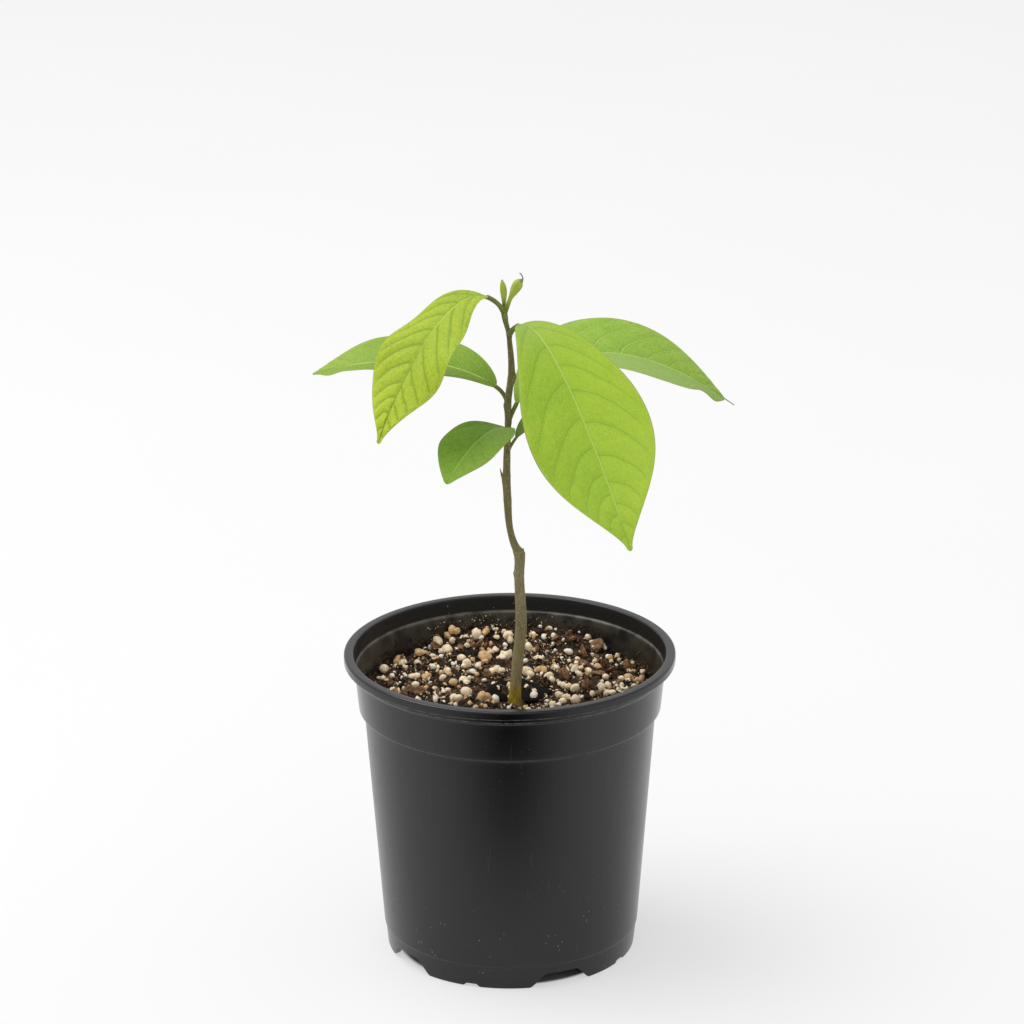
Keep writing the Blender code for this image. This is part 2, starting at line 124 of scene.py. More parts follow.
def new_piece(name, points, faces, fields=None, uvs=None, smooth=True):
    """A mesh object from points, a list of face arrays and any values held at each point."""
    mesh = bpy.data.meshes.new(name)
    corners = np.concatenate([face.ravel() for face in faces]).astype(np.int32)
    sizes = np.concatenate([np.full(len(face), face.shape[1]) for face in faces])
    starts = np.concatenate([[0], np.cumsum(sizes)[:-1]]).astype(np.int32)
    mesh.vertices.add(len(points))
    mesh.vertices.foreach_set("co", np.ascontiguousarray(points, dtype=np.float32).ravel())
    mesh.loops.add(len(corners))
    mesh.loops.foreach_set("vertex_index", corners)
    mesh.polygons.add(len(sizes))
    mesh.polygons.foreach_set("loop_start", starts)
    mesh.update(calc_edges=True)
    mesh.validate()
    for field, values in (fields or {}).items():
        layer = mesh.attributes.new(field, "FLOAT", "POINT")
        layer.data.foreach_set("value", np.ascontiguousarray(values, dtype=np.float32).ravel())
    if uvs is not None:
        layer = mesh.uv_layers.new(name="UVMap")
        layer.data.foreach_set("uv", np.ascontiguousarray(uvs, dtype=np.float32).ravel())
    mesh.polygons.foreach_set("use_smooth", np.full(len(sizes), smooth))
    piece = bpy.data.objects.new(name, mesh)
    bpy.context.scene.collection.objects.link(piece)
    return piece


def skin(name, rings, fields=None):
    """A closed mesh over a row of rings, given as (ring, point, xyz), facing outwards."""
    rows, sides, _ = rings.shape
    points = rings.reshape(-1, 3)
    middles = np.stack([rings[0].mean(axis=0), rings[-1].mean(axis=0)])
    quads = ring_quads(rows, sides)
    uvs = ring_quad_uvs(rows, sides)
    here = np.arange(sides)
    after = (here + 1) % sides
    first = len(points) + 0 * here
    last = first + 1
    top = (rows - 1) * sides
    fans = np.concatenate([
        np.stack([after, here, first], axis=-1),
        np.stack([top + here, top + after, last], axis=-1),
    ])
    share = np.stack([here, here + 1, here + 0.5], axis=-1) / sides
    start_uv = np.stack([share[:, [1, 0, 2]], np.zeros((sides, 3))], axis=-1)
    end_uv = np.stack([share, np.ones((sides, 3))], axis=-1)
    all_uvs = np.concatenate([uvs, start_uv.reshape(-1, 2), end_uv.reshape(-1, 2)])
    points = np.concatenate([points, middles])
    if signed_volume(points, np.concatenate([quads[:, :3], quads[:, [0, 2, 3]], fans])) < 0.0:
        quads = quads[:, ::-1]
        fans = fans[:, ::-1]
        all_uvs = np.concatenate([
            uvs.reshape(-1, 4, 2)[:, ::-1].reshape(-1, 2),
            start_uv[:, ::-1].reshape(-1, 2),
            end_uv[:, ::-1].reshape(-1, 2),
        ])
    ends = {}
    for field, values in (fields or {}).items():
        ends[field] = np.concatenate([values.ravel(), [values[0].mean(), values[-1].mean()]])
    return new_piece(name, points, [quads, fans], ends, all_uvs)


def settle(piece, finish, slot, *nodes):
    """Give a piece its finish, let it ride with the plant, and hide what it replaces; slot is not used.
    """
    piece.data.materials.append(finish.material)
    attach(piece, BODY)
    if nodes:
        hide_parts(*nodes)
    print(piece.name, "has", len(piece.data.polygons), "faces")
    return piece


# %% [markdown]
# ## Noise in numbers
# Bark, crumbs and leaves are uneven in a way that isn't random from point to point: a bump
# has a size. Value noise gives that. It puts a random number on every corner of a grid and
# eases between them, and a few layers, each finer and weaker than the last, add up to a
# natural roughness. The corner numbers come from a hash, so the result never changes.

# %% Noise helpers
HASH_PRIMES = np.array([374761393, 668265263, 2246822519], dtype=np.uint64)
HASH_MIX = np.uint64(1274126177)
HASH_MASK = np.uint64(0xFFFFFFFF)


def corner_value(cell, seed):
    """A number from 0 to 1 for each whole-number corner, mixed from its coordinates."""
    wrapped = (cell.astype(np.int64) & 0xFFFF).astype(np.uint64)
    total = (wrapped * HASH_PRIMES).sum(axis=-1) + np.uint64(seed * 97 + 13)
    total = total & HASH_MASK
    total = ((total ^ (total >> np.uint64(13))) * HASH_MIX) & HASH_MASK
    return (total ^ (total >> np.uint64(16))).astype(float) / float(HASH_MASK)


def noise(points, seed=0):
    """Value noise from 0 to 1 at (n, 3) points: eased between the eight corners round each."""
    cell = np.floor(points)
    share = points - cell
    share = share * share * (3.0 - 2.0 * share)
    total = np.zeros(points.shape[:-1])
    for corner in itertools.product((0, 1), repeat=3):
        weight = np.prod(np.where(np.array(corner) == 1, share, 1.0 - share), axis=-1)
        total = total + weight * corner_value(cell + np.array(corner), seed)
    return total


def layered_noise(points, layers=4, seed=0):
    """Noise from about -1 to 1: each layer is twice as fine as the last and half as strong."""
    total = np.zeros(points.shape[:-1])
    reach = 0.0
    for layer in range(layers):
        strength = 0.5 ** layer
        total = total + strength * (2.0 * noise(points * 2.0 ** layer, seed + layer) - 1.0)
        reach += strength
    return total / reach


def smooth_step(low, high, value):
    """0 below low, 1 above high, and an S-shaped rise between them."""
    share = np.clip((value - low) / (high - low), 0.0, 1.0)
    return share * share * (3.0 - 2.0 * share)


# %% [markdown]
# ## Shader maths as Python sums
# A material is a graph of nodes, and wiring one by hand hides what it works out. Here one
# small class wraps a node's output. Adding or multiplying two of them adds the Math node, so
# a mask can be written as a sum. Any other node comes from one method, node, which takes its
# kind, its settings and what its sockets hold or are linked to.

# %% Finish helpers
class Wire:
    """One node output that takes part in sums."""

    def __init__(self, finish, socket):
        self.finish = finish
        self.socket = socket

    def do(self, operation, first, second=0.0, clamp=False):
        """A Math node on two values or wires."""
        settings = {"operation": operation, "use_clamp": clamp}
        return self.finish.node("ShaderNodeMath", settings, {0: first, 1: second})

    def __add__(self, other):
        return self.do("ADD", self, other)

    def __sub__(self, other):
        return self.do("SUBTRACT", self, other)

    def __mul__(self, other):
        return self.do("MULTIPLY", self, other)

    def __truediv__(self, other):
        return self.do("DIVIDE", self, other)

    def __pow__(self, other):
        return self.do("POWER", self, other)

    def __rsub__(self, other):
        return self.do("SUBTRACT", other, self)

    __radd__ = __add__
    __rmul__ = __mul__

    def step(self, low, high):
        """0 where the wire is under low, 1 where it is over high, and a soft rise between."""
        settings = {"interpolation_type": "SMOOTHSTEP", "clamp": True}
        sockets = {"Value": self, "From Min": low, "From Max": high}
        return self.finish.node("ShaderNodeMapRange", settings, sockets)


class Finish:
    """A material with one Principled shader, and short ways to add nodes to it."""

    def __init__(self, name, **constants):
        self.material = bpy.data.materials.new(name)
        self.material.use_nodes = True
        self.tree = self.material.node_tree
        self.shader = self.tree.nodes["Principled BSDF"]
        for socket, value in constants.items():
            self.shader.inputs[socket.replace("_", " ")].default_value = value

    def feed(self, socket, value):
        """Link a wire to a socket, or set the socket to a plain value."""
        if isinstance(value, Wire):
            self.tree.links.new(value.socket, socket)
        else:
            socket.default_value = value

    def node(self, kind, settings=None, sockets=None, out=0):
        """Add a node: its settings first, then what its sockets hold; gives one output."""
        made = self.tree.nodes.new(kind)
        for key, value in (settings or {}).items():
            setattr(made, key, value)
        for key, value in (sockets or {}).items():
            self.feed(made.inputs[key], value)
        return Wire(self, made.outputs[out])

    def place(self, scale=(1.0, 1.0, 1.0)):
        """Object coordinates in metres, stretched by a scale on each axis."""
        where = self.node("ShaderNodeTexCoord", out="Object")
        return self.node("ShaderNodeMapping", None, {"Vector": where, "Scale": scale})

    def height(self):
        """The height above the floor, in metres."""
        where = self.node("ShaderNodeTexCoord", out="Object")
        return self.node("ShaderNodeSeparateXYZ", None, {0: where}, out="Z")

    def field(self, name):
        """A value that the mesh holds at each point."""
        return self.node("ShaderNodeAttribute", {"attribute_name": name}, out="Fac")

    def noise(self, scale, detail=3.0, stretch=(1.0, 1.0, 1.0), roughness=0.5):
        """Noise from 0 to 1, with scale in lumps per metre."""
        sockets = {"Vector": self.place(stretch), "Scale": scale, "Detail": detail}
        sockets["Roughness"] = roughness
        return self.node("ShaderNodeTexNoise", None, sockets)

    def cells(self, scale, feature="F1", stretch=(1.0, 1.0, 1.0), out="Distance"):
        """Distance in a Voronoi pattern, with scale in cells per metre."""
        sockets = {"Vector": self.place(stretch), "Scale": scale}
        return self.node("ShaderNodeTexVoronoi", {"feature": feature}, sockets, out)

    def blend(self, share, first, second):
        """From the first colour to the second as the share goes from 0 to 1."""
        made = self.tree.nodes.new("ShaderNodeMix")
        made.data_type = "RGBA"
        self.feed(made.inputs[0], share)
        self.feed(made.inputs[6], first if isinstance(first, Wire) else (*first, 1.0))
        self.feed(made.inputs[7], second if isinstance(second, Wire) else (*second, 1.0))
        return Wire(self, made.outputs[2])

    def bump(self, height, distance, strength=1.0):
        """A Bump node on the shader's normal; distance is the relief's depth in metres."""
        sockets = {"Strength": strength, "Distance": distance, "Height": height}
        self.colour("Normal", self.node("ShaderNodeBump", None, sockets))

    def colour(self, socket, value):
        """Feed one of the shader's own sockets."""
        self.feed(self.shader.inputs[socket], value)


def linear(red, green, blue):
    """A colour as seen on screen, 0 to 255, as the linear values that a shader takes."""
    shares = np.array([red, green, blue]) / 255.0
    low = shares / 12.92
    high = ((shares + 0.055) / 1.055) ** 2.4
    return tuple(float(value) for value in np.where(shares <= 0.04045, low, high))


# %% [markdown]
# ## Floor and light
# The picture was taken on a white table that is lit from inside as well as from above. The
# glow is what keeps the shadow so faint: where the pot hides the lamps, the sheet still
# shines by itself. So the floor is part white paper and part glow, and it reaches far enough
# to have no visible end. Under the pot the sheet doesn't glow, so the drain notches show a
# dark inside. Light comes softly from all round, with a little more from one broad lamp
# overhead, to the left.

# %% Floor and lights
FLOOR_RADIUS = 14.0
FLOOR_SIDES = 96
FLOOR_WHITE = 0.34
FLOOR_GLOW = 0.545
WORLD_LIGHT = 0.80
KEY_POWER = 50.0
KEY_SIZE = 2.4
KEY_PLACE = (-1.1, 0.2, 2.6)
KEY_AIM = (0.0, 0.0, 0.15)
UNLIT_RADIUS = 0.0555


def make_floor():
    """A round sheet as rings from its middle outwards, with closed middle, facing up."""
    turn = np.linspace(0.0, 2.0 * math.pi, FLOOR_SIDES, endpoint=False)
    reach = np.geomspace(0.02, FLOOR_RADIUS, 24)[:, None]
    rings = np.stack([reach * np.cos(turn), reach * np.sin(turn), 0.0 * reach * turn], axis=-1)
    points = np.concatenate([rings.reshape(-1, 3), [[0.0, 0.0, 0.0]]])
    here = np.arange(FLOOR_SIDES)
    fan = np.stack([0 * here + len(points) - 1, here, (here + 1) % FLOOR_SIDES], axis=-1)
    return new_piece("studio_floor", points, [ring_quads(24, FLOOR_SIDES)[:, ::-1], fan])


def finish_floor():
    """A white sheet with a faint mottle, which glows."""
    finish = Finish("light_table", Roughness=0.9, Specular_IOR_Level=0.0)
    mottle = finish.noise(3.0, 2.0)
    low = (FLOOR_WHITE - 0.01,) * 3
    finish.colour("Base Color", finish.blend(mottle, low, (FLOOR_WHITE + 0.01,) * 3))
    flat = finish.place((1.0, 1.0, 0.0))
    reach = finish.node("ShaderNodeVectorMath", {"operation": "LENGTH"}, {0: flat}, out="Value")
    glow = reach.step(UNLIT_RADIUS, UNLIT_RADIUS + 0.003)
    finish.colour("Emission Color", finish.blend(glow, (0.0, 0.0, 0.0), (1.0, 1.0, 1.0)))
    finish.shader.inputs["Emission Strength"].default_value = FLOOR_GLOW
    return finish


def make_light(name, place, aim, size, power):
    """A round lamp that faces a point."""
    data = bpy.data.lights.new(name, "AREA")
    data.shape = "DISK"
    data.size = size
    data.energy = power
    lamp = bpy.data.objects.new(name, data)
    away = Vector(place) - Vector(aim)
    lamp.matrix_world = Matrix.Translation(place) @ away.to_track_quat("Z", "Y").to_matrix().to_4x4()
    bpy.context.scene.collection.objects.link(lamp)


floor = make_floor()
floor.data.materials.append(finish_floor().material)
world = bpy.data.worlds.new("studio")
world.use_nodes = True
world.node_tree.nodes["Background"].inputs["Color"].default_value = (1.0, 1.0, 1.0, 1.0)
world.node_tree.nodes["Background"].inputs["Strength"].default_value = WORLD_LIGHT
bpy.context.scene.world = world
make_light("key", KEY_PLACE, KEY_AIM, KEY_SIZE, KEY_POWER)
bpy.context.scene.view_settings.view_transform = "Standard"
print("floor reaches", FLOOR_RADIUS, "m from the plant")

# %% [markdown]
# Glossy black plastic shows whatever stands in front of it. In the picture that is the dark
# room beyond the table's near edge, and it gives the pot its deep band and its bright
# edges. A black card on the floor ahead of the pot does the same. Only reflections can see
# it, so it hides nothing and casts no shadow. A card with a hard edge would show as a hard
# patch on the band, so it thins out toward the pot and toward both sides.

# %% Dark card
CARD_NEAR = 0.075
CARD_FAR = 2.4
CARD_HALF_TURN = math.radians(75.0)
CARD_LIFT = 0.002
CARD_RISE = (0.065, 0.325)
CARD_SIDE = 0.95


def make_card():
    """A flat sheet as a sector of a ring round the pot, as a grid of distance by turn."""
    distance = np.geomspace(CARD_NEAR, CARD_FAR, 16)[:, None]
    turn = np.linspace(-CARD_HALF_TURN, CARD_HALF_TURN, 25)[None, :]
    points = np.stack([distance * np.sin(turn), -distance * np.cos(turn)], axis=-1)
    points = np.concatenate([points, np.full((16, 25, 1), CARD_LIFT)], axis=-1).reshape(-1, 3)
    row, column = np.meshgrid(np.arange(15), np.arange(24), indexing="ij")
    first = (row * 25 + column).ravel()
    sheet = np.stack([first, first + 25, first + 26, first + 1], axis=-1)
    return new_piece("dark_card", points, [sheet])


def finish_card():
    """Black velvet, whose alpha grows away from the pot and falls toward both sides."""
    finish = Finish("black_velvet", Roughness=1.0, Specular_IOR_Level=0.0)
    nap = finish.noise(90.0, 2.0)
    finish.colour("Base Color", finish.blend(nap, (0.004, 0.004, 0.004), (0.010, 0.010, 0.010)))
    length = {"operation": "LENGTH"}
    flat = finish.place((1.0, 1.0, 0.0))
    aside = finish.place((1.0, 0.0, 0.0))
    reach = finish.node("ShaderNodeVectorMath", length, {0: flat}, out="Value")
    side = finish.node("ShaderNodeVectorMath", length, {0: aside}, out="Value") / reach
    finish.colour("Alpha", reach.step(*CARD_RISE) * side.step(CARD_SIDE, 0.0))
    return finish


card = make_card()
card.data.materials.append(finish_card().material)
card.visible_camera = False
card.visible_diffuse = False
card.visible_shadow = False
print("card is black from", CARD_RISE[1], "m ahead of the pot's axis")

# %% [markdown]
# ## The pot
# A nursery pot is blown or moulded in thin black plastic, so every edge is a small round and
# the wall is never quite true. Its profile is a list of corners with a rounding at each. A
# rounded corner is a short quadratic curve between a point just before it and a point just
# after it, which is worked out for all the corners at once. The profile is then carried
# round the axis. The drain notches and the shallow grooves between them are cut afterwards,
# with blocks whose tops slope down to both sides as the moulded openings do. Such a cut can
# fail on an unlucky size and take the whole pot away, so each cut is followed by a count.

# %% Pot sizes
POT_HEIGHT = 155.9 * MM
LIP_RADIUS = 82.5 * MM
LIP_INNER = 77.7 * MM
LIP_BOTTOM = 151.5 * MM
COLLAR_RADIUS = 79.2 * MM
COLLAR_BOTTOM = 148.8 * MM
BAND_TOP_RADIUS = 77.3 * MM
BAND_TOP = 147.4 * MM
BAND_BOTTOM_RADIUS = 75.3 * MM
BAND_BOTTOM = 127.4 * MM
BODY_TOP_RADIUS = 72.7 * MM
BODY_TOP = 126.2 * MM
SEAM_RADIUS = 64.0 * MM
SEAM_HEIGHT = 12.4 * MM
FOOT_RADIUS = 62.3 * MM
WALL = 1.5 * MM
INNER_BAND_TOP = 76.1 * MM
INNER_COLLAR = 76.9 * MM
FLOOR_TOP = 5.0 * MM
FLOOR_UNDERSIDE = 3.2 * MM
RING_INNER = 59.5 * MM
PAD_RADIUS = 18.0 * MM
POT_SIDES = 240


def round_corners(corners, points=7):
    """Replace each inner corner by a quadratic curve that starts and ends its rounding away."""
    path = np.array([corner[:2] for corner in corners])
    size = np.array([corner[2] for corner in corners])[1:-1, None]
    before = path[:-2] - path[1:-1]
    after = path[2:] - path[1:-1]
    before_length = np.linalg.norm(before, axis=1, keepdims=True)
    after_length = np.linalg.norm(after, axis=1, keepdims=True)
    reach = np.minimum(size, 0.45 * np.minimum(before_length, after_length))
    start = path[1:-1] + before / before_length * reach
    end = path[1:-1] + after / after_length * reach
    share = np.linspace(0.0, 1.0, points)[None, :, None]
    curve = (1 - share) ** 2 * start[:, None] + share ** 2 * end[:, None]
    curve = curve + 2 * share * (1 - share) * path[1:-1][:, None]
    return np.concatenate([path[:1], curve.reshape(-1, 2), path[-1:]])


def fill_in(path, step):
    """Add points along the long straight stretches, so that no step is longer than given."""
    pieces = []
    for start, end in zip(path[:-1], path[1:]):
        count = max(1, int(np.ceil(np.linalg.norm(end - start) / step)))
        share = np.linspace(0.0, 1.0, count, endpoint=False)[:, None]
        pieces.append(start + (end - start) * share)
    return np.concatenate(pieces + [path[-1:]])


# %% Pot
def pot_profile():
    """The pot's outline as (radius, height, rounding), from the floor's middle, inside first."""
    return (
        (0.4 * MM, FLOOR_TOP, 0.0),
        (SEAM_RADIUS - 1.7 * WALL, FLOOR_TOP, 1.5 * MM),
        (BODY_TOP_RADIUS - WALL, BODY_TOP - 0.5 * WALL, 0.8 * MM),
        (BAND_BOTTOM_RADIUS - 1.2 * WALL, BAND_BOTTOM, 0.8 * MM),
        (INNER_BAND_TOP, BAND_TOP, 0.3 * MM),
        (INNER_COLLAR, BAND_TOP + 0.7 * MM, 0.3 * MM),
        (LIP_INNER, POT_HEIGHT, 0.9 * MM),
        (LIP_RADIUS, POT_HEIGHT, 1.1 * MM),
        (LIP_RADIUS, LIP_BOTTOM, 1.5 * MM),
        (LIP_RADIUS - 1.6 * MM, LIP_BOTTOM, 0.3 * MM),
        (COLLAR_RADIUS, LIP_BOTTOM + 1.6 * MM, 0.3 * MM),
        (COLLAR_RADIUS, COLLAR_BOTTOM, 0.5 * MM),
        (BAND_TOP_RADIUS, BAND_TOP, 0.6 * MM),
        (BAND_BOTTOM_RADIUS, BAND_BOTTOM, 0.7 * MM),
        (BODY_TOP_RADIUS, BODY_TOP, 0.6 * MM),
        (SEAM_RADIUS, SEAM_HEIGHT, 0.3 * MM),
        (SEAM_RADIUS - 0.5 * MM, SEAM_HEIGHT - 0.5 * MM, 0.2 * MM),
        (FOOT_RADIUS, 0.5 * MM, 0.4 * MM),
        (FOOT_RADIUS - 0.5 * MM, 0.0, 0.3 * MM),
        (RING_INNER, 0.0, 0.3 * MM),
        (RING_INNER, FLOOR_UNDERSIDE, 0.3 * MM),
        (PAD_RADIUS, FLOOR_UNDERSIDE, 0.3 * MM),
        (PAD_RADIUS, 0.0, 0.3 * MM),
        (0.4 * MM, 0.0, 0.0),
    )


def pot_rings():
    """The profile carried round, with the wall a twentieth of a millimetre out of true."""
    path = fill_in(round_corners(pot_profile()), 3.0 * MM)
    turn = np.linspace(0.0, 2.0 * math.pi, POT_SIDES, endpoint=False)
    way = np.stack([np.cos(turn), np.sin(turn), np.zeros(POT_SIDES)], axis=-1)
    upward = np.array([0.0, 0.0, 1.0])
    rings = path[:, None, :1] * way + path[:, None, 1:] * upward
    wall = smooth_step(FOOT_RADIUS - 4.0 * MM, FOOT_RADIUS, path[:, 0])[:, None]
    dents = layered_noise(rings * np.array([28.0, 28.0, 22.0]), 3, seed=5)
    shift = 0.05 * MM * dents * wall * (path[:, 1] < LIP_BOTTOM)[:, None]
    return rings + way * shift[..., None]


NOTCH_ANGLES = (-66.5, -145.5, 145.0, 74.0, 5.0)
NOTCH_HEIGHT = 7.4 * MM
NOTCH_HALF_WIDTHS = (7.5 * MM, 17.2 * MM)
NOTCH_REACH = (53.0 * MM, 70.0 * MM)
GROOVE_TURN = 37.0
GROOVE_HEIGHT = 1.8 * MM
GROOVE_HALF_WIDTHS = (2.2 * MM, 5.0 * MM)
GROOVE_REACH = (58.0 * MM, 70.0 * MM)
CUT_DEPTH = 2.0 * MM
CUT_CLEAR = 0.04 * MM


def sloped_block(name, reach, angle, half_widths, height):
    """A block along a radius whose top eases down to the floor at both sides, as an S."""
    inner, outer = half_widths
    across = np.linspace(-outer, outer, 33)
    rise = (height + CUT_CLEAR) * smooth_step(outer, inner, np.abs(across)) - CUT_CLEAR
    outline = np.stack([across, rise], axis=-1)
    outline = np.vstack([[-outer, -CUT_DEPTH], outline, [outer, -CUT_DEPTH]])
    way = math.radians(angle)
    along = np.array([math.cos(way), math.sin(way), 0.0])
    aside = np.array([-math.sin(way), math.cos(way), 0.0])
    section = outline[:, :1] * aside + outline[:, 1:] * np.array([0.0, 0.0, 1.0])
    return skin(name, section[None] + np.array(reach)[:, None, None] * along)


def cut_away(piece, cutter):
    """Take a block out of a piece for good, drop the block, and see that the piece is still there."""
    points = len(piece.data.vertices)
    boolean = piece.modifiers.new(cutter.name, "BOOLEAN")
    boolean.object = cutter
    with bpy.context.temp_override(object=piece, active_object=piece):
        bpy.ops.object.modifier_apply(modifier=boolean.name)
    bpy.data.objects.remove(cutter, do_unlink=True)
    assert len(piece.data.vertices) > 0.9 * points, "a cut took the whole piece away"


def make_pot():
    """The turned shell with its five drain notches and five shallow grooves."""
    pot = skin("pot_shell", pot_rings())
    for angle in NOTCH_ANGLES:
        notch = sloped_block("notch", NOTCH_REACH, angle, NOTCH_HALF_WIDTHS, NOTCH_HEIGHT)
        cut_away(pot, notch)
        turned = angle + GROOVE_TURN
        groove = sloped_block("groove", GROOVE_REACH, turned, GROOVE_HALF_WIDTHS, GROOVE_HEIGHT)
        cut_away(pot, groove)
    pot.data.set_sharp_from_angle(angle=math.radians(50.0))
    return pot


def finish_pot():
    """Black plastic with a soft gloss: cloudy sheen, scuffs, specks low down, dust and painted light
    inside, and painted highlights on the lip's lower edge and the collar.

    Between the outer wall and the inner one lies a line of radius against height, and what is
    nearer the axis than that line, above the shoulder, is the inside. A pale line on its ledge
    is a painted highlight. Below it pale patches, partly dust and partly painted light, fade
    toward the mix as painted shade.
    """
    finish = Finish("black_moulded_plastic", Specular_IOR_Level=0.5)
    cloud = finish.noise(26.0, 3.0)
    grain = finish.noise(900.0, 2.0)
    streak = finish.noise(120.0, 2.0, stretch=(1.0, 1.0, 0.06))
    scuff = finish.noise(420.0, 3.0, stretch=(1.0, 1.0, 0.10)).step(0.66, 0.74)
    speck = finish.cells(330.0).step(0.16, 0.05) * finish.noise(70.0, 1.0).step(0.50, 0.62)
    low = finish.height().step(0.075, 0.0)
    dust = speck * (0.12 + 0.88 * low)
    body = finish.blend(cloud, (0.0022, 0.0022, 0.0025), (0.0040, 0.0040, 0.0044))
    body = finish.blend(scuff * 0.25, body, (0.040, 0.040, 0.040))
    body = finish.blend(dust * 0.65, body, (0.32, 0.31, 0.29))
    height = finish.height()
    flat = finish.place((1.0, 1.0, 0.0))
    reach = finish.node("ShaderNodeVectorMath", {"operation": "LENGTH"}, {0: flat}, out="Value")
    middle = 0.0746 + 0.12 * (height - 0.1274)
    inside = (middle - reach).step(-0.0002, 0.0002) * height.step(0.1250, 0.1262)
    # The pale line on the inner ledge is a painted highlight. The pale patches below it are partly dust
    # and partly painted light, and they fade toward the mix as painted shade.
    ledge = height.step(0.1462, 0.1474) * height.step(0.1487, 0.1480)
    lower = height.step(0.1480, 0.1468) * (0.32 + 0.68 * height.step(0.1360, 0.1470))
    patches = finish.noise(110.0, 3.0).step(0.30, 0.62)
    body = finish.blend(inside * lower * patches, body, linear(62, 60, 50))
    body = finish.blend(inside * ledge * patches * 0.5, body, linear(118, 114, 100))
    # Thin pale lines on the lip's lower edge and on the collar are painted highlights, broken up by
    # noise.
    edge_highlight = finish.noise(240.0, 3.0, stretch=(1.0, 1.0, 0.2)).step(0.40, 0.60)
    under = height.step(0.1511, 0.1515) * height.step(0.1523, 0.1518)
    collar = height.step(0.1484, 0.1487) * height.step(0.1494, 0.1490)
    edge_highlight = (1.0 - inside) * edge_highlight * (under + collar)
    body = finish.blend(edge_highlight * 0.55, body, linear(84, 84, 82))
    finish.colour("Base Color", body)
    band = height.step(0.1262, 0.1275) * 0.07 - inside * 0.20
    sheen = 0.175 + 0.11 * cloud + 0.04 * streak - band
    finish.colour("Roughness", sheen + 0.15 * scuff + 0.25 * dust)
    finish.bump(grain * 0.7 + scuff * 0.5, 0.02 * MM, 0.4)
    return finish


pot = settle(make_pot(), finish_pot(), "pot_plastic", "nursery_pot")

# %% [markdown]
# ## The potting mix
# The mix is peat with lumps of pumice in it, shreds of bark, and fine roots and fibres. A
# single bumpy surface would look like clay, so it is built as it is: a dark bed that carries
# the broad relief, and on it thousands of loose grains. The bed rises where the mix is banked
# against the back of the pot, and dips into a hollow round the foot of the stem. The shade in
# that hollow is painted: the bed goes near black there, and two thin black sheets lie in it.

# %% Mix surface
MIX_LEVEL = 131.8 * MM
MIX_HEAP = 3.2 * MM
MIX_LUMP = 1.1 * MM
MIX_PITCH = 2.0 * math.pi / (17.0 * MM)
MIX_BANK = 5.5 * MM
MIX_BANK_MIDDLE = math.radians(84.0)
MIX_BANK_REACH = math.radians(36.0)
HOLLOW_CENTRE = np.array([4.0, -6.0]) * MM
HOLLOW_DEPTH = 4.6 * MM
HOLLOW_REACH = np.array([19.0, 15.0]) * MM
FOOT_HEAP = 2.6 * MM
FOOT_HEAP_CENTRE = np.array([2.0, -20.0]) * MM
FOOT_HEAP_REACH = 7.5 * MM


def inner_radius(height):
    """The inner radius of the pot's wall at a height, from its own profile."""
    heights = np.array([SEAM_HEIGHT, BODY_TOP, BAND_BOTTOM, BAND_TOP, COLLAR_BOTTOM, POT_HEIGHT])
    radii = np.array([
        SEAM_RADIUS - WALL, BODY_TOP_RADIUS - WALL, BAND_BOTTOM_RADIUS - 1.2 * WALL,
        INNER_BAND_TOP, INNER_COLLAR, LIP_INNER])
    return np.interp(height, heights, radii)


def hollow_share(x, y):
    """How far into the hollow a place is: 0 outside it, 1 at its foot."""
    aside = np.abs(x - HOLLOW_CENTRE[0]) / HOLLOW_REACH[0]
    ahead = np.abs(y - HOLLOW_CENTRE[1]) / HOLLOW_REACH[1]
    return smooth_step(1.0, 0.45, aside + 0.8 * ahead)


def mix_height(x, y):
    """The bed's height: lumps, rise, bank on the back wall, the hollow, and a heap before it."""
    waves = np.sin(MIX_PITCH * x) * np.cos(MIX_PITCH * y)
    waves = waves + 0.5 * np.sin(math.sqrt(2.0) * MIX_PITCH * (x + y))
    rise = MIX_HEAP * np.clip(y / LIP_RADIUS, 0.0, 1.0) ** 2
    reach = np.hypot(x, y)
    turn = (np.arctan2(y, x) - MIX_BANK_MIDDLE + math.pi) % (2.0 * math.pi) - math.pi
    bank = smooth_step(1.15, 0.75, np.abs(turn) / MIX_BANK_REACH)
    bank = MIX_BANK * bank * smooth_step(58.0 * MM, 74.0 * MM, reach)
    near = np.hypot(x - FOOT_HEAP_CENTRE[0], y - FOOT_HEAP_CENTRE[1]) / FOOT_HEAP_REACH
    heap = FOOT_HEAP * np.exp(-near ** 2) - HOLLOW_DEPTH * hollow_share(x, y)
    return MIX_LEVEL + MIX_LUMP * waves + rise + bank + heap


# %% [markdown]
# Each grain is a small ring-built lump: a ball of a few rings, pushed in and out by noise,
# then scaled, turned any way, and set down. All the grains of one colour are one mesh, and
# the arrays hold every grain at once, as (grain, ring, point, xyz).

# %% Grains
def skin_many(name, rings, smooth=True):
    """One mesh from many closed lumps or threads, given as (copy, ring, point, xyz)."""
    copies, rows, sides, _ = rings.shape
    middles = np.stack([rings[:, 0].mean(axis=1), rings[:, -1].mean(axis=1)], axis=1)
    points = np.concatenate([rings.reshape(copies, -1, 3), middles], axis=1)
    quads = ring_quads(rows, sides)
    here = np.arange(sides)
    after = (here + 1) % sides
    low = rows * sides + 0 * here
    top = (rows - 1) * sides
    fans = np.concatenate([
        np.stack([after, here, low], axis=-1),
        np.stack([top + here, top + after, low + 1], axis=-1),
    ])
    if signed_volume(points[0], np.concatenate([quads[:, :3], quads[:, [0, 2, 3]], fans])) < 0.0:
        quads = quads[:, ::-1]
        fans = fans[:, ::-1]
    shift = (np.arange(copies) * points.shape[1])[:, None, None]
    faces = [(quads[None] + shift).reshape(-1, 4), (fans[None] + shift).reshape(-1, 3)]
    return new_piece(name, points.reshape(-1, 3), faces, smooth=smooth)


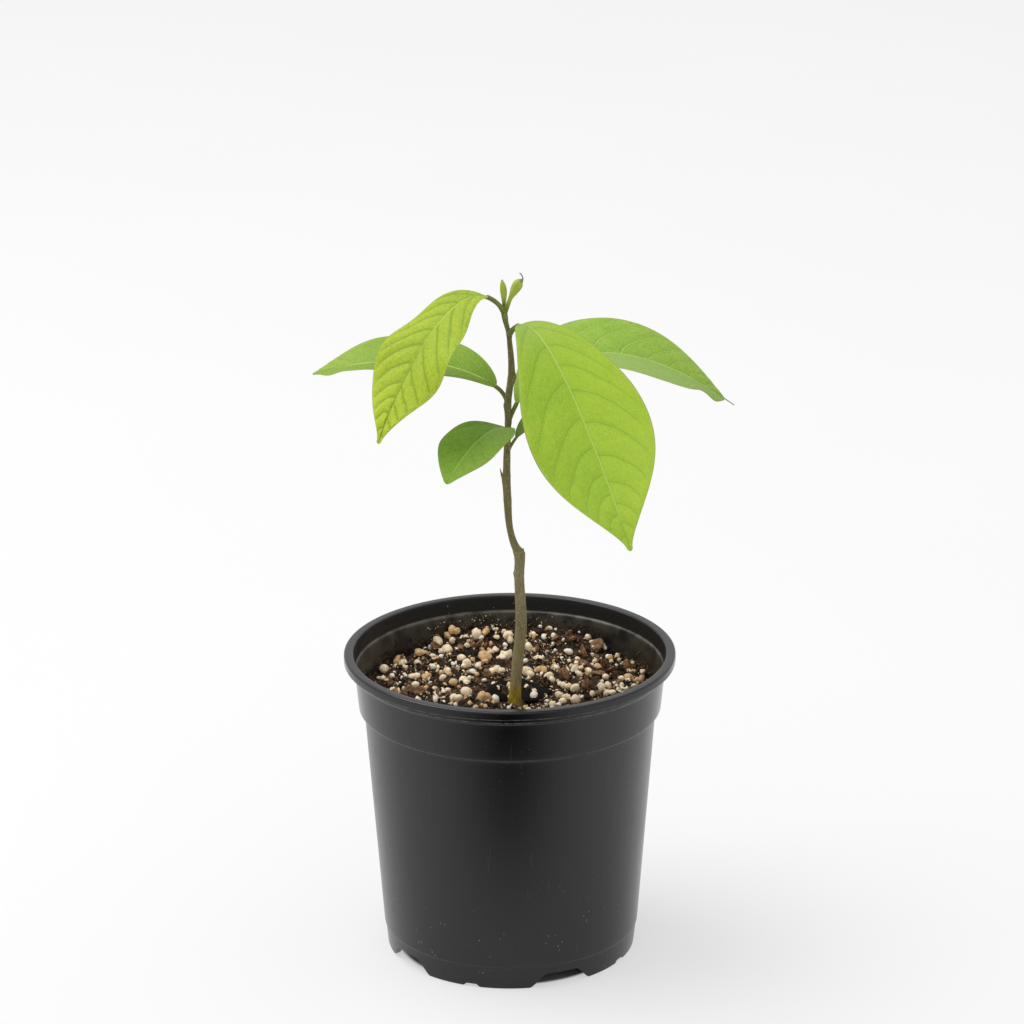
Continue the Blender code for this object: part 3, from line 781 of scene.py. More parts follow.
def any_turn(count, random):
    """A random turn for each of many grains, as matrices, from random unit quaternions."""
    w, x, y, z = (random.normal(size=(4, count)))
    norm = np.sqrt(w * w + x * x + y * y + z * z)
    w, x, y, z = w / norm, x / norm, y / norm, z / norm
    rows = [
        [1 - 2 * (y * y + z * z), 2 * (x * y - z * w), 2 * (x * z + y * w)],
        [2 * (x * y + z * w), 1 - 2 * (x * x + z * z), 2 * (y * z - x * w)],
        [2 * (x * z - y * w), 2 * (y * z + x * w), 1 - 2 * (x * x + y * y)],
    ]
    return np.moveaxis(np.array(rows), -1, 0)


def grain_rings(places, sizes, turns, detail, lump, random):
    """Lumps as rings: a unit ball pushed by noise of two sizes, then scaled, turned and set."""
    rows, sides = detail
    slope = np.linspace(0.0, math.pi, rows + 2)[1:-1]
    turn = np.linspace(0.0, 2.0 * math.pi, sides, endpoint=False)
    ball = np.stack([
        np.sin(slope)[:, None] * np.cos(turn),
        np.sin(slope)[:, None] * np.sin(turn),
        np.cos(slope)[:, None] + 0.0 * turn,
    ], axis=-1)
    offset = random.uniform(0.0, 200.0, size=(len(places), 1, 1, 3))
    push = 1.0 + lump * layered_noise(1.25 * ball[None] + offset, 2, seed=3)
    shape = ball[None] * push[..., None] * sizes[:, None, None, :]
    return places[:, None, None, :] + np.einsum("nij,nrsj->nrsi", turns, shape)


def spread(count, random, low=0.0, high=72.0 * MM, patchy=0.5, seed=1):
    """Random places on the mix, crowded into patches by noise and kept inside the pot."""
    tries = count * 8
    reach = np.sqrt(random.uniform((low / high) ** 2, 1.0, tries)) * high
    turn = random.uniform(0.0, 2.0 * math.pi, tries)
    x = reach * np.cos(turn)
    y = reach * np.sin(turn)
    patch = noise(np.stack([x, y, 0.0 * x], axis=-1) / (15.0 * MM), seed)
    keep = patch + random.uniform(-0.5, 0.5, tries) * (1.0 - patchy) > 0.5
    keep = keep & (hollow_share(x, y) < random.uniform(0.15, 1.2, tries) ** 2)
    return x[keep][:count], y[keep][:count]


def settled(x, y, size, sink):
    """Places on the bed, with each grain's middle this share of its size above the bed."""
    reach = np.hypot(x, y)
    height = mix_height(x, y) + sink * size
    room = np.minimum(1.0, (inner_radius(height) - 0.9 * size) / np.maximum(reach, MM))
    return np.stack([x * room, y * room, mix_height(x * room, y * room) + sink * size], axis=-1)


# %% [markdown]
# The biggest lumps of pumice stand where they can be seen to stand in the picture. They are
# read from an enlarged part of it, as a place and a width on that view, and a ray from the
# camera through each place finds the spot on the mix where the lump lies. The rest of the
# grains are strewn at random.

# %% Placing by sight
VIEW_LEFT = 380.0
VIEW_TOP = 560.0
VIEW_SCALE = 5.6
VIEW_PIXELS_PER_MM = 2.02
SEEN_SWELL = 1.14
PICTURE_WIDTH = 1024.0
LENS_PIXELS = CAMERA_LENS / 36.0 * PICTURE_WIDTH


def on_mix(view_x, view_y, above):
    """The place on the mix, raised by a size, that lies behind a point of the enlarged view."""
    right = (VIEW_LEFT + view_x / VIEW_SCALE - PICTURE_WIDTH / 2.0) / LENS_PIXELS
    up = -(VIEW_TOP + view_y / VIEW_SCALE - PICTURE_WIDTH / 2.0) / LENS_PIXELS
    way = np.stack([right, up, -np.ones_like(right)], axis=-1)
    way = way @ np.array(camera.matrix_world.to_3x3()).T
    eye = np.array(camera.matrix_world.translation)
    height = MIX_LEVEL + above
    for _ in range(12):
        spot = eye + way * ((height - eye[2]) / way[:, 2])[:, None]
        height = 0.5 * height + 0.5 * (mix_height(spot[:, 0], spot[:, 1]) + above)
    return spot


SEEN_CREAM = (
    (285, 440, 58), (312, 452, 40), (405, 452, 40), (540, 412, 56), (655, 432, 32),
    (375, 505, 62), (350, 512, 40), (297, 540, 36), (715, 422, 52), (730, 450, 36),
    (700, 540, 62), (680, 550, 50), (722, 530, 46), (620, 520, 40), (645, 502, 38),
    (835, 492, 60), (455, 556, 56), (486, 578, 50), (470, 592, 34), (550, 592, 38),
    (210, 580, 40), (122, 575, 42), (22, 608, 52), (178, 657, 46), (206, 656, 42),
    (200, 697, 38), (350, 660, 40), (470, 675, 56), (484, 690, 44), (482, 736, 62),
    (412, 774, 46), (438, 776, 46), (320, 748, 40), (72, 735, 40), (98, 736, 36),
    (380, 728, 30), (826, 626, 60), (842, 640, 44), (945, 655, 48), (962, 668, 34),
    (1090, 614, 46), (1118, 640, 38), (1172, 625, 44), (1265, 655, 38), (1352, 664, 36),
    (1105, 556, 34), (1103, 582, 34), (1165, 432, 36), (1242, 712, 50), (1276, 706, 48),
    (1270, 748, 42), (1302, 742, 42), (1095, 716, 54), (1030, 704, 42), (1056, 706, 36),
    (1008, 692, 30), (1002, 756, 40), (1048, 770, 52), (1092, 782, 52), (1024, 790, 40),
    (965, 806, 44), (1520, 615, 34), (1425, 704, 34), (1472, 566, 36), (660, 616, 46),
    (630, 622, 38), (378, 622, 40), (262, 640, 30), (480, 432, 32), (1190, 750, 30),
)
SEEN_WHITE = (
    (860, 414, 28), (920, 430, 32), (972, 422, 30), (1057, 512, 46), (1290, 440, 22),
    (1310, 458, 26), (1355, 520, 26), (1190, 531, 24), (520, 625, 38), (295, 598, 38),
    (70, 650, 32), (285, 692, 28), (645, 778, 44), (865, 758, 46), (985, 602, 34),
    (500, 662, 30), (1268, 490, 24), (700, 476, 28), (567, 441, 30), (245, 467, 26),
    (210, 468, 20), (640, 386, 20), (912, 350, 22), (980, 345, 26), (1018, 548, 20),
    (814, 566, 32), (1000, 812, 34), (936, 794, 28), (310, 782, 30), (720, 826, 22),
    (1278, 541, 28), (1360, 720, 24), (555, 278, 14), (618, 320, 16), (1235, 322, 12),
    (990, 378, 18), (1110, 360, 18), (342, 540, 24), (410, 588, 22), (1060, 565, 24),
)
SEEN_TAN = (
    (372, 414, 44), (400, 384, 50), (428, 396, 42), (592, 402, 44), (216, 520, 46),
    (250, 524, 44), (592, 545, 66), (586, 572, 46), (96, 572, 46), (68, 552, 42),
    (60, 520, 30), (408, 686, 46), (568, 764, 60), (594, 768, 54), (888, 620, 46),
    (918, 614, 36), (1392, 660, 60), (1464, 665, 40), (250, 660, 40), (274, 648, 34),
    (1290, 548, 36), (1222, 600, 40), (815, 826, 26), (520, 560, 30), (1330, 540, 34),
)
SEEN_BARK = (
    (312, 478, 56), (1210, 476, 74), (1082, 440, 42), (1152, 706, 80), (1300, 612, 56),
    (1394, 600, 66), (1228, 632, 58), (600, 640, 66), (548, 474, 60), (452, 482, 46),
    (1040, 640, 72), (1140, 512, 60), (590, 480, 44), (1010, 636, 60), (880, 500, 50),
    (1420, 585, 50), (1185, 640, 50), (640, 600, 40), (980, 440, 46), (1060, 410, 44),
)


def seen_grains(name, table, smooth, flatness, lump, sink, random, detail=(8, 13)):
    """Grains at the places that were read from the picture, as wide as they look there."""
    view = np.array(table, dtype=float)
    size = view[:, 2] / VIEW_SCALE / VIEW_PIXELS_PER_MM * MM * SEEN_SWELL / 2.0
    spot = on_mix(view[:, 0], view[:, 1], sink * size)
    places = settled(spot[:, 0], spot[:, 1], size, sink)
    shape = np.stack([
        random.uniform(0.95, 1.15, len(size)),
        random.uniform(0.85, 1.0, len(size)),
        random.uniform(*flatness, len(size)),
    ], axis=-1)
    turns = any_turn(len(size), random)
    rings = grain_rings(places, size[:, None] * shape, turns, detail, lump, random)
    return skin_many(name, rings, smooth)


def loose_grains(name, count, size, smooth, flatness, lump, detail, random, seed, patchy=0.5):
    """Grains strewn over the mix; more of them are small than large."""
    x, y = spread(count, random, patchy=patchy, seed=seed)
    low, high = size
    radius = low * (high / low) ** random.uniform(0.0, 1.0, len(x)) ** 1.6 * 0.5
    places = settled(x, y, radius, 0.35)
    shape = np.stack([
        random.uniform(1.0, 1.4, len(x)),
        random.uniform(0.75, 1.0, len(x)),
        random.uniform(*flatness, len(x)),
    ], axis=-1)
    turns = any_turn(len(x), random)
    rings = grain_rings(places, radius[:, None] * shape, turns, detail, lump, random)
    return skin_many(name, rings, smooth)


def wall_crumbs(name, count, size, arc, rise, random, clusters=9):
    """Crumbs that cling to the inside of the wall, in clusters, fewer the higher they are."""
    middle = random.uniform(*arc, clusters)
    share = random.uniform(0.2, 1.0, clusters)
    which = random.integers(0, clusters, count)
    turn = np.radians(middle[which] + random.normal(0.0, 5.0, count))
    reach = 70.0 * MM
    foot = mix_height(reach * np.cos(turn), reach * np.sin(turn))
    height = foot + rise * share[which] * random.uniform(0.0, 1.0, count) ** 1.8
    radius = 0.5 * size * random.uniform(0.35, 1.0, count) ** 1.5
    reach = inner_radius(height) - 0.3 * radius
    places = np.stack([reach * np.cos(turn), reach * np.sin(turn), height], axis=-1)
    shape = random.uniform(0.7, 1.3, (count, 3))
    turns = any_turn(count, random)
    rings = grain_rings(places, radius[:, None] * shape, turns, (2, 5), 0.5, random)
    return skin_many(name, rings, False)


def threads(name, count, length, radius, random, low=0.0, high=70.0 * MM):
    """Fine fibres: a three-sided section along a bowed line that lies on the mix."""
    x, y = spread(count, random, low, high, patchy=0.2, seed=31)
    turn = random.uniform(0.0, 2.0 * math.pi, len(x))
    size = random.uniform(*length, len(x))[:, None]
    along = np.linspace(-0.5, 0.5, 7)[None, :]
    bow = random.uniform(-0.35, 0.35, len(x))[:, None] * size * (4.0 * along ** 2)
    path_x = x[:, None] + np.cos(turn)[:, None] * size * along - np.sin(turn)[:, None] * bow
    path_y = y[:, None] + np.sin(turn)[:, None] * size * along + np.cos(turn)[:, None] * bow
    lift = random.uniform(0.1, 1.2, len(x))[:, None] * MM
    tip = random.uniform(-1.0, 2.2, len(x))[:, None] * MM * (along + 0.5)
    path = np.stack([path_x, path_y, mix_height(path_x, path_y) + lift + tip], axis=-1)
    corner = np.radians([90.0, 210.0, 330.0])
    across = np.stack([-np.sin(turn), np.cos(turn), 0.0 * turn], axis=-1)
    thick = radius * random.uniform(0.6, 1.4, len(x))[:, None, None, None]
    taper = (1.0 - 1.2 * np.abs(along) ** 2)[..., None, None]
    ring = across[:, None, None, :] * np.cos(corner)[None, None, :, None]
    ring = ring + np.array([0.0, 0.0, 1.0]) * np.sin(corner)[None, None, :, None]
    return skin_many(name, path[:, :, None, :] + thick * taper * ring, False)


# %% Bed of peat
BED_RINGS = 96
BED_SIDES = 320
BED_UNDERSIDE = 118.0 * MM


def bed_rings():
    """Rings from the middle of the top out to the wall, then down it to a flat underside."""
    turn = np.linspace(0.0, 2.0 * math.pi, BED_SIDES, endpoint=False)
    share = np.linspace(0.01, 1.0, BED_RINGS)
    reach = share[:, None] * 73.9 * MM + 0.0 * turn
    x = reach * np.cos(turn)
    y = reach * np.sin(turn)
    flat = np.stack([x, y, 0.0 * x], axis=-1)
    rough = 1.3 * MM * layered_noise(flat / (5.5 * MM), 4, seed=21)
    rough = rough + 0.55 * MM * layered_noise(flat / (1.3 * MM), 2, seed=22)
    height = mix_height(x, y) + rough - 0.4 * MM
    scale = np.minimum(1.0, (inner_radius(height) - 0.05 * MM) / np.maximum(reach, MM))
    top = np.stack([x * scale, y * scale, height], axis=-1)
    edge = top[-1]
    wall = inner_radius(BED_UNDERSIDE) - 0.05 * MM
    low = np.stack([wall * np.cos(turn), wall * np.sin(turn), 0.0 * turn + BED_UNDERSIDE], axis=-1)
    inner = low * np.array([0.02, 0.02, 1.0])
    down = edge + (low - edge) * np.linspace(0.2, 1.0, 5)[:, None, None]
    across = low + (inner - low) * np.linspace(0.25, 1.0, 4)[:, None, None]
    down[:, :, :2] *= (inner_radius(down[..., 2]) - 0.05 * MM)[..., None] / np.linalg.norm(
        down[:, :, :2], axis=-1, keepdims=True)
    return np.concatenate([top, down, across])


def finish_peat():
    """Moist peat: brown on the crumbs and near black in the bump's hollows, partly its own colour and
    partly painted light and shade, with paler flecks; near black as painted shade round the stem's
    foot.
    """
    finish = Finish("moist_peat", Specular_IOR_Level=0.25)
    coarse = finish.noise(260.0, 4.0, roughness=0.65)
    fine = finish.noise(1300.0, 3.0, roughness=0.6)
    # Darker where the bump sinks and lighter where it rises: partly the peat's own mottle, partly
    # painted light and shade.
    tone = finish.blend(coarse.step(0.38, 0.66), linear(24, 17, 13), linear(70, 50, 36))
    tone = finish.blend(fine.step(0.52, 0.70) * 0.55, tone, linear(112, 84, 60))
    tone = finish.blend(fine.step(0.40, 0.28) * 0.8, tone, linear(14, 10, 8))
    # Round the hollow at the stem's foot the peat is painted near black: painted shade.
    centre = (-HOLLOW_CENTRE[0], -HOLLOW_CENTRE[1], 0.0)
    away = finish.node("ShaderNodeVectorMath", {"operation": "ADD"}, {0: finish.place(), 1: centre})
    away = finish.node("ShaderNodeVectorMath", {"operation": "MULTIPLY"}, {0: away, 1: (1.0, 1.0, 0.0)})
    reach = finish.node("ShaderNodeVectorMath", {"operation": "LENGTH"}, {0: away}, out="Value")
    tone = finish.blend(reach.step(0.014, 0.008) * 0.8, tone, linear(12, 9, 8))
    finish.colour("Base Color", tone)
    finish.colour("Roughness", 0.75 + 0.2 * fine)
    finish.bump(coarse + fine * 0.6, 0.9 * MM, 1.0)
    return finish


def finish_grain(name, light, dark, pits, gloss=0.85):
    """Grains of one colour, a little darker in their pits, which is painted shade."""
    finish = Finish(name, Specular_IOR_Level=0.25)
    coarse = finish.noise(520.0, 3.0)
    fine = finish.noise(2200.0, 2.0)
    tone = finish.blend(coarse.step(0.36, 0.66), dark, light)
    # Darker where the fine bump sinks: painted shade in the pits.
    tone = finish.blend(fine.step(0.44, 0.30) * 0.6, tone, pits)
    finish.colour("Base Color", tone)
    finish.colour("Roughness", gloss + 0.1 * fine)
    finish.bump(coarse * 0.6 + fine * 0.5, 0.25 * MM, 0.8)
    return finish


settle(skin("peat_bed", bed_rings()), finish_peat(), "potting_mix", "potting_mix")

# %% Strewn grains
MIX_SEED = 20
random = np.random.default_rng(MIX_SEED)
peat_dark = finish_grain("peat_crumb_dark", linear(66, 47, 34), linear(36, 26, 19), linear(14, 10, 8))
peat_brown = finish_grain(
    "peat_crumb_brown", linear(120, 92, 66), linear(84, 62, 44), linear(40, 29, 21))
peat_light = finish_grain(
    "peat_crumb_light", linear(166, 130, 94), linear(124, 95, 68), linear(70, 52, 38))
perlite = finish_grain("perlite", linear(254, 248, 236), linear(238, 228, 210), linear(188, 170, 144))
pumice = finish_grain(
    "pumice_cream", linear(254, 238, 210), linear(234, 208, 172), linear(172, 138, 100))
ochre = finish_grain("pumice_tan", linear(232, 198, 152), linear(204, 164, 118), linear(136, 100, 66))
bark_chip = finish_grain("bark_chip", linear(150, 116, 86), linear(106, 78, 56), linear(52, 38, 28))
# Glossy black for the thin sheets in the stem's hollow, which are painted shade.
hollow_shade = finish_grain("hollow_painted_shade", linear(16, 14, 13), linear(8, 7, 7), linear(4, 4, 4), 0.75)
hollow_shade.shader.inputs["Specular IOR Level"].default_value = 0.12
SEEN_FOOT = (
    (684, 800, 24), (702, 808, 20), (716, 802, 26), (734, 806, 22), (750, 800, 24), (768, 808, 26),
    (694, 818, 22), (722, 820, 24), (742, 820, 20), (780, 798, 22), (668, 806, 20), (760, 822, 22),
)
fibre = finish_grain("root_fibre", linear(150, 122, 92), linear(110, 84, 60), linear(70, 50, 36))


def strew(piece, finish):
    """Finish a piece of the mix; the bed already stands in for the plain solid."""
    settle(piece, finish, "potting_mix")


strew(seen_grains("pumice_seen_cream", SEEN_CREAM, True, (0.7, 0.9), 0.34, 0.42, random), pumice)
strew(seen_grains("perlite_seen", SEEN_WHITE, True, (0.7, 0.95), 0.34, 0.42, random), perlite)
strew(seen_grains("pumice_seen_tan", SEEN_TAN, True, (0.7, 0.9), 0.36, 0.42, random), ochre)
strew(seen_grains("foot_crumbs", SEEN_FOOT, False, (0.6, 0.9), 0.6, 0.4, random, (3, 7)), peat_brown)
strew(seen_grains("bark_seen", SEEN_BARK, False, (0.35, 0.5), 0.5, 0.30, random), bark_chip)
GRAIN_KINDS = (
    ("peat_crumbs_dark", 2600, (0.8, 3.4), False, (0.5, 0.9), 0.7, (2, 6), 41, 0.1, peat_dark),
    ("peat_crumbs_brown", 1700, (0.6, 2.6), False, (0.4, 0.9), 0.7, (2, 6), 42, 0.4, peat_brown),
    ("peat_crumbs_light", 900, (0.4, 1.8), False, (0.4, 0.9), 0.7, (2, 5), 43, 0.6, peat_light),
    ("pumice_small", 480, (0.8, 3.6), True, (0.7, 1.0), 0.4, (4, 7), 44, 0.7, pumice),
    ("perlite_small", 260, (0.7, 2.8), True, (0.7, 1.0), 0.4, (4, 7), 45, 0.4, perlite),
    ("pumice_tan_small", 340, (0.8, 3.6), True, (0.6, 1.0), 0.4, (4, 7), 46, 0.7, ochre),
    ("pumice_dust", 1100, (0.4, 1.3), True, (0.7, 1.0), 0.3, (2, 5), 47, 0.7, pumice),
    ("bark_small", 190, (1.8, 6.5), False, (0.2, 0.4), 0.6, (3, 7), 48, 0.3, bark_chip),
)
for name, count, size, smooth, flatness, lump, detail, seed, patchy, finish in GRAIN_KINDS:
    span = (size[0] * MM, size[1] * MM)
    piece = loose_grains(name, count, span, smooth, flatness, lump, detail, random, seed, patchy)
    strew(piece, finish)
strew(threads("root_fibres", 190, (3.0 * MM, 11.0 * MM), 0.13 * MM, random), fibre)
WALL_KINDS = (
    ("wall_crumbs_dark", 520, 1.5, (20.0, 160.0), 10.0, 18, peat_dark),
    ("wall_crumbs_brown", 340, 1.4, (48.0, 118.0), 13.0, 9, peat_brown),
    ("wall_crumbs_tan", 90, 0.9, (78.0, 124.0), 15.0, 6, ochre),
    ("wall_crumbs_pale", 70, 0.8, (84.0, 128.0), 17.0, 5, pumice),
    ("wall_clump_left", 90, 1.5, (148.0, 160.0), 8.0, 3, peat_brown),
    ("wall_clump_right", 150, 1.4, (22.0, 36.0), 14.0, 3, peat_brown),
)
for name, count, size, arc, rise, clusters, finish in WALL_KINDS:
    piece = wall_crumbs(name, count, size * MM, arc, rise * MM, random, clusters)
    strew(piece, finish)


# Two thin black sheets lie in the hollow round the stem's foot. They are painted shade: dark things put
# where the hollow is in shade.
def shade_sheet_rings(view_points):
    """A thin black sheet of painted shade between an upper and a lower edge, each given by two points
    of the view.
    """
    view = np.array(view_points)
    edge_start, edge_end, foot_start, foot_end = on_mix(view[:, 0], view[:, 1], SHADE_SHEET_LIFT)
    along = np.linspace(0.0, 1.0, 18)[:, None]
    down = np.array([1.0, 0.75, 0.5, 0.25, 0.0, 0.0, 0.25, 0.5, 0.75, 1.0])[None, :, None]
    thick = SHADE_SHEET_HALF_THICKNESS * np.repeat([1.0, -1.0], 5)[None, :, None]
    edge = (edge_start + (edge_end - edge_start) * along)[:, None, :]
    foot = (foot_start + (foot_end - foot_start) * along)[:, None, :]
    bow = 1.1 * MM * (np.sin(math.pi * along)[:, None] + 0.25 * np.sin(9.0 * along)[:, None])
    upward = np.array([0.0, 0.0, 1.0])
    return edge + (foot - edge) * down + upward * (bow * (1.0 - down) + thick)


SHADE_SHEET_LIFT = 1.3 * MM
SHADE_SHEET_HALF_THICKNESS = 0.18 * MM
HOLLOW_SHADE_SHEETS = {
    "hollow_shade_left": ((598.0, 730.0), (716.0, 652.0), (655.0, 785.0), (724.0, 790.0)),
    "hollow_shade_right": ((742.0, 652.0), (968.0, 742.0), (742.0, 790.0), (880.0, 792.0)),
}
for name, view_points in HOLLOW_SHADE_SHEETS.items():
    strew(skin(name, shade_sheet_rings(view_points)), hollow_shade)

# %% [markdown]
# ## The stem
# The stem zigzags a little: it bends at each node, where a leaf grew, and it is thickest at
# the mix. A short table gives its place and thickness at the nodes, and smooth curves run
# through them. Nearly all its heights, places aside and widths were read off the picture and
# turned into millimetres by another program, and the depths were chosen by hand. Round each
# ring the radius then gets what the bark adds: fine ridges that run along the stem, swellings
# under the leaves, and small side buds that point upward. Two buds stand clear of the stem
# with a free tip, so each of those is a small pointed piece as well.

# %% Stem curves
STEM_NODES = (
    (130.1, 2.4, -10.0, 7.2),
    (134.0, 2.4, -10.2, 6.4),
    (155.0, 4.0, -11.2, 5.6),
    (173.0, 5.6, -12.0, 5.7),
    (200.0, 4.8, -11.8, 4.9),
    (211.0, 4.6, -11.3, 5.0),
    (217.0, 2.1, -10.2, 3.8),
    (240.0, -0.8, -9.0, 3.9),
    (256.0, -1.0, -9.2, 3.6),
    (278.0, -0.3, -10.0, 3.1),
    (290.0, -0.2, -10.3, 3.4),
    (304.0, 1.5, -10.0, 3.3),
    (318.0, 0.8, -9.8, 2.6),
    (324.5, 0.1, -10.0, 2.3),
    (330.0, -1.2, -10.1, 2.7),
    (335.2, -2.0, -10.0, 3.2),
)
STEM_TABLE = np.array(STEM_NODES) * MM
STEM_BUDS = (
    (249.5, 180.0, 0.6, 3.2),
    (212.5, 0.0, 0.9, 2.4),
    (201.0, 180.0, 0.4, 1.2),
    (302.0, -10.0, 0.8, 2.6),
    (279.5, 35.0, 0.5, 2.2),
    (287.5, 160.0, 0.5, 2.2),
    (323.5, -45.0, 0.8, 1.8),
)
BUD_WIDTH = math.radians(34.0)
STEM_FOOT = 126.0 * MM
STEM_TIP_ROUND = 1.4 * MM


def smooth_through(at, places, values):
    """A smooth curve through a few values: cubic pieces whose slopes are the mean of both sides."""
    slopes = np.gradient(values, places)
    index = np.clip(np.searchsorted(places, at) - 1, 0, len(places) - 2)
    span = places[index + 1] - places[index]
    share = np.clip((at - places[index]) / span, 0.0, 1.0)
    ease = share * share * (3.0 - 2.0 * share)
    lead = share * (1.0 - share) ** 2 * slopes[index]
    trail = share * share * (share - 1.0) * slopes[index + 1]
    return values[index] + (values[index + 1] - values[index]) * ease + span * (lead + trail)


def stem_place(height):
    """The stem's centre at a height, or at each of several, as (x, y, height)."""
    x = smooth_through(height, STEM_TABLE[:, 0], STEM_TABLE[:, 1])
    y = smooth_through(height, STEM_TABLE[:, 0], STEM_TABLE[:, 2])
    return np.stack([x, y, height + 0.0 * x], axis=-1)


def stem_radius(height):
    """The stem's radius at a height, without its buds."""
    return smooth_through(height, STEM_TABLE[:, 0], STEM_TABLE[:, 3]) / 2.0


# %% Stem
STEM_ROWS = 620
STEM_SIDES = 48
BARK_DEPTH = 0.10 * MM
NODE_RINGS = (211.5, 201.0, 238.0, 251.0, 270.0, 278.0, 287.0, 301.0, 323.0, 332.0)


def stem_rings():
    """Rings up the stem; the radius is the curve plus buds, node rings and bark ridges."""
    top = STEM_TABLE[-1, 0]
    heights = np.linspace(STEM_FOOT, top, STEM_ROWS)
    turn = np.linspace(0.0, 2.0 * math.pi, STEM_SIDES, endpoint=False)
    radius = np.repeat(stem_radius(heights)[:, None], STEM_SIDES, axis=1)
    for height, direction, out, reach in STEM_BUDS:
        along = (heights[:, None] - height * MM) / (reach * MM)
        pointed = np.where(along > 0.0, along * 1.25, along * 0.85)
        aside = (turn - math.radians(direction) + math.pi) % (2.0 * math.pi) - math.pi
        radius = radius + out * MM * np.exp(-pointed ** 2 - (aside / BUD_WIDTH) ** 2)
    for height in NODE_RINGS:
        ring = np.exp(-((heights[:, None] - height * MM) / (0.9 * MM)) ** 2)
        radius = radius + 0.10 * MM * ring
    way = np.stack([np.cos(turn), np.sin(turn), np.zeros(STEM_SIDES)], axis=-1)
    spots = np.stack(np.broadcast_arrays(
        3.4 * way[None, :, 0], 3.4 * way[None, :, 1], heights[:, None] / (5.0 * MM)), axis=-1)
    ridges = 1.0 - np.abs(layered_noise(spots * np.array([1.5, 1.5, 0.45]), 3, seed=2))
    pits = layered_noise(spots * np.array([1.3, 1.3, 3.0]), 3, seed=9)
    woody = smooth_step(330.0 * MM, 215.0 * MM, heights)[:, None]
    radius = radius + BARK_DEPTH * (0.35 + 0.65 * woody) * (ridges ** 3 - 0.5 + 0.5 * pits)
    rings = stem_place(heights)[:, None, :] + radius[..., None] * way
    last = rings[-1]
    middle = last.mean(axis=0)
    shares = np.cos(np.linspace(0.0, math.pi / 2.0, 9)[1:-1])
    crowns = middle + (last - middle) * shares[:, None, None]
    crowns[..., 2] = top + STEM_TIP_ROUND * np.sqrt(1.0 - shares ** 2)[:, None]
    return np.concatenate([rings, crowns])


# Foot height, direction, length, thickness and lean, the direction in degrees, the rest in mm.
BUD_SCALES = (
    (247.0, 180.0, 7.8, 1.3, 1.9),
    (211.0, 0.0, 3.2, 1.4, 0.3),
)
SCALE_ROWS = 14
SCALE_SIDES = 12


def scale_rings(foot, direction, length, thick, lean):
    """A pointed bud scale: sections that shrink up a straight path out of the stem's side."""
    share = np.linspace(0.0, 1.0, SCALE_ROWS)[:, None]
    turn = np.linspace(0.0, 2.0 * math.pi, SCALE_SIDES, endpoint=False)
    aim = math.radians(direction)
    way = np.array([math.cos(aim), math.sin(aim), 0.0])
    start = stem_place(foot * MM) + (stem_radius(foot * MM) - 0.5 * MM) * way
    path = start + share * (lean * way + np.array([0.0, 0.0, length])) * MM
    radius = 0.5 * thick * MM * (1.0 - 0.85 * share ** 2.2)
    circle = np.stack([np.cos(turn), np.sin(turn), 0.0 * turn], axis=-1)
    return path[:, None, :] + radius[..., None] * circle


def finish_bark():
    """Young bark: grey-brown below, olive above, green at the tip, with pale pores and streaks."""
    finish = Finish("young_bark", Specular_IOR_Level=0.3)
    height = finish.height()
    streaks = finish.noise(900.0, 4.0, stretch=(1.0, 1.0, 0.16))
    blotches = finish.noise(210.0, 3.0, stretch=(1.0, 1.0, 0.5))
    pores = finish.cells(760.0, stretch=(1.0, 1.0, 0.7)).step(0.36, 0.14)
    freckles = finish.noise(1500.0, 3.0, roughness=0.7).step(0.50, 0.66)
    grey = finish.blend(streaks, linear(94, 86, 58), linear(164, 154, 114))
    olive = finish.blend(streaks, linear(86, 78, 46), linear(140, 132, 86))
    green = finish.blend(streaks, linear(92, 104, 40), linear(138, 150, 66))
    patch = finish.blend(blotches.step(0.35, 0.7), linear(120, 104, 18), linear(216, 184, 24))
    tone = finish.blend(height.step(0.205, 0.222), grey, olive)
    tone = finish.blend(height.step(0.318, 0.336), tone, green)
    # Paler from about 150 to 178 mm up: painted light that offsets the shade near the mix.
    tone = finish.blend(height.step(0.178, 0.150) * 0.42, tone, linear(178, 158, 106))
    low = (height + blotches * 0.008).step(0.1500, 0.1415) * 0.85
    tone = finish.blend(low, tone, patch)
    tone = finish.blend(blotches.step(0.56, 0.72) * 0.30, tone, linear(58, 50, 30))
    tone = finish.blend(freckles * 0.40, tone, linear(62, 56, 32))
    tone = finish.blend(pores * (0.05 + 0.75 * blotches), tone, linear(180, 172, 138))
    finish.colour("Base Color", tone)
    finish.colour("Roughness", 0.55 + 0.25 * streaks)
    finish.bump(streaks * 0.7 + pores * 0.5, 0.10 * MM, 0.8)
    return finish


bark = finish_bark()
settle(skin("stem_bark", stem_rings()), bark, "bark", "trunk")
for number, scale in enumerate(BUD_SCALES, 1):
    settle(skin(f"bud_scale_{number}", scale_rings(*scale)), bark, "bark", "trunk")
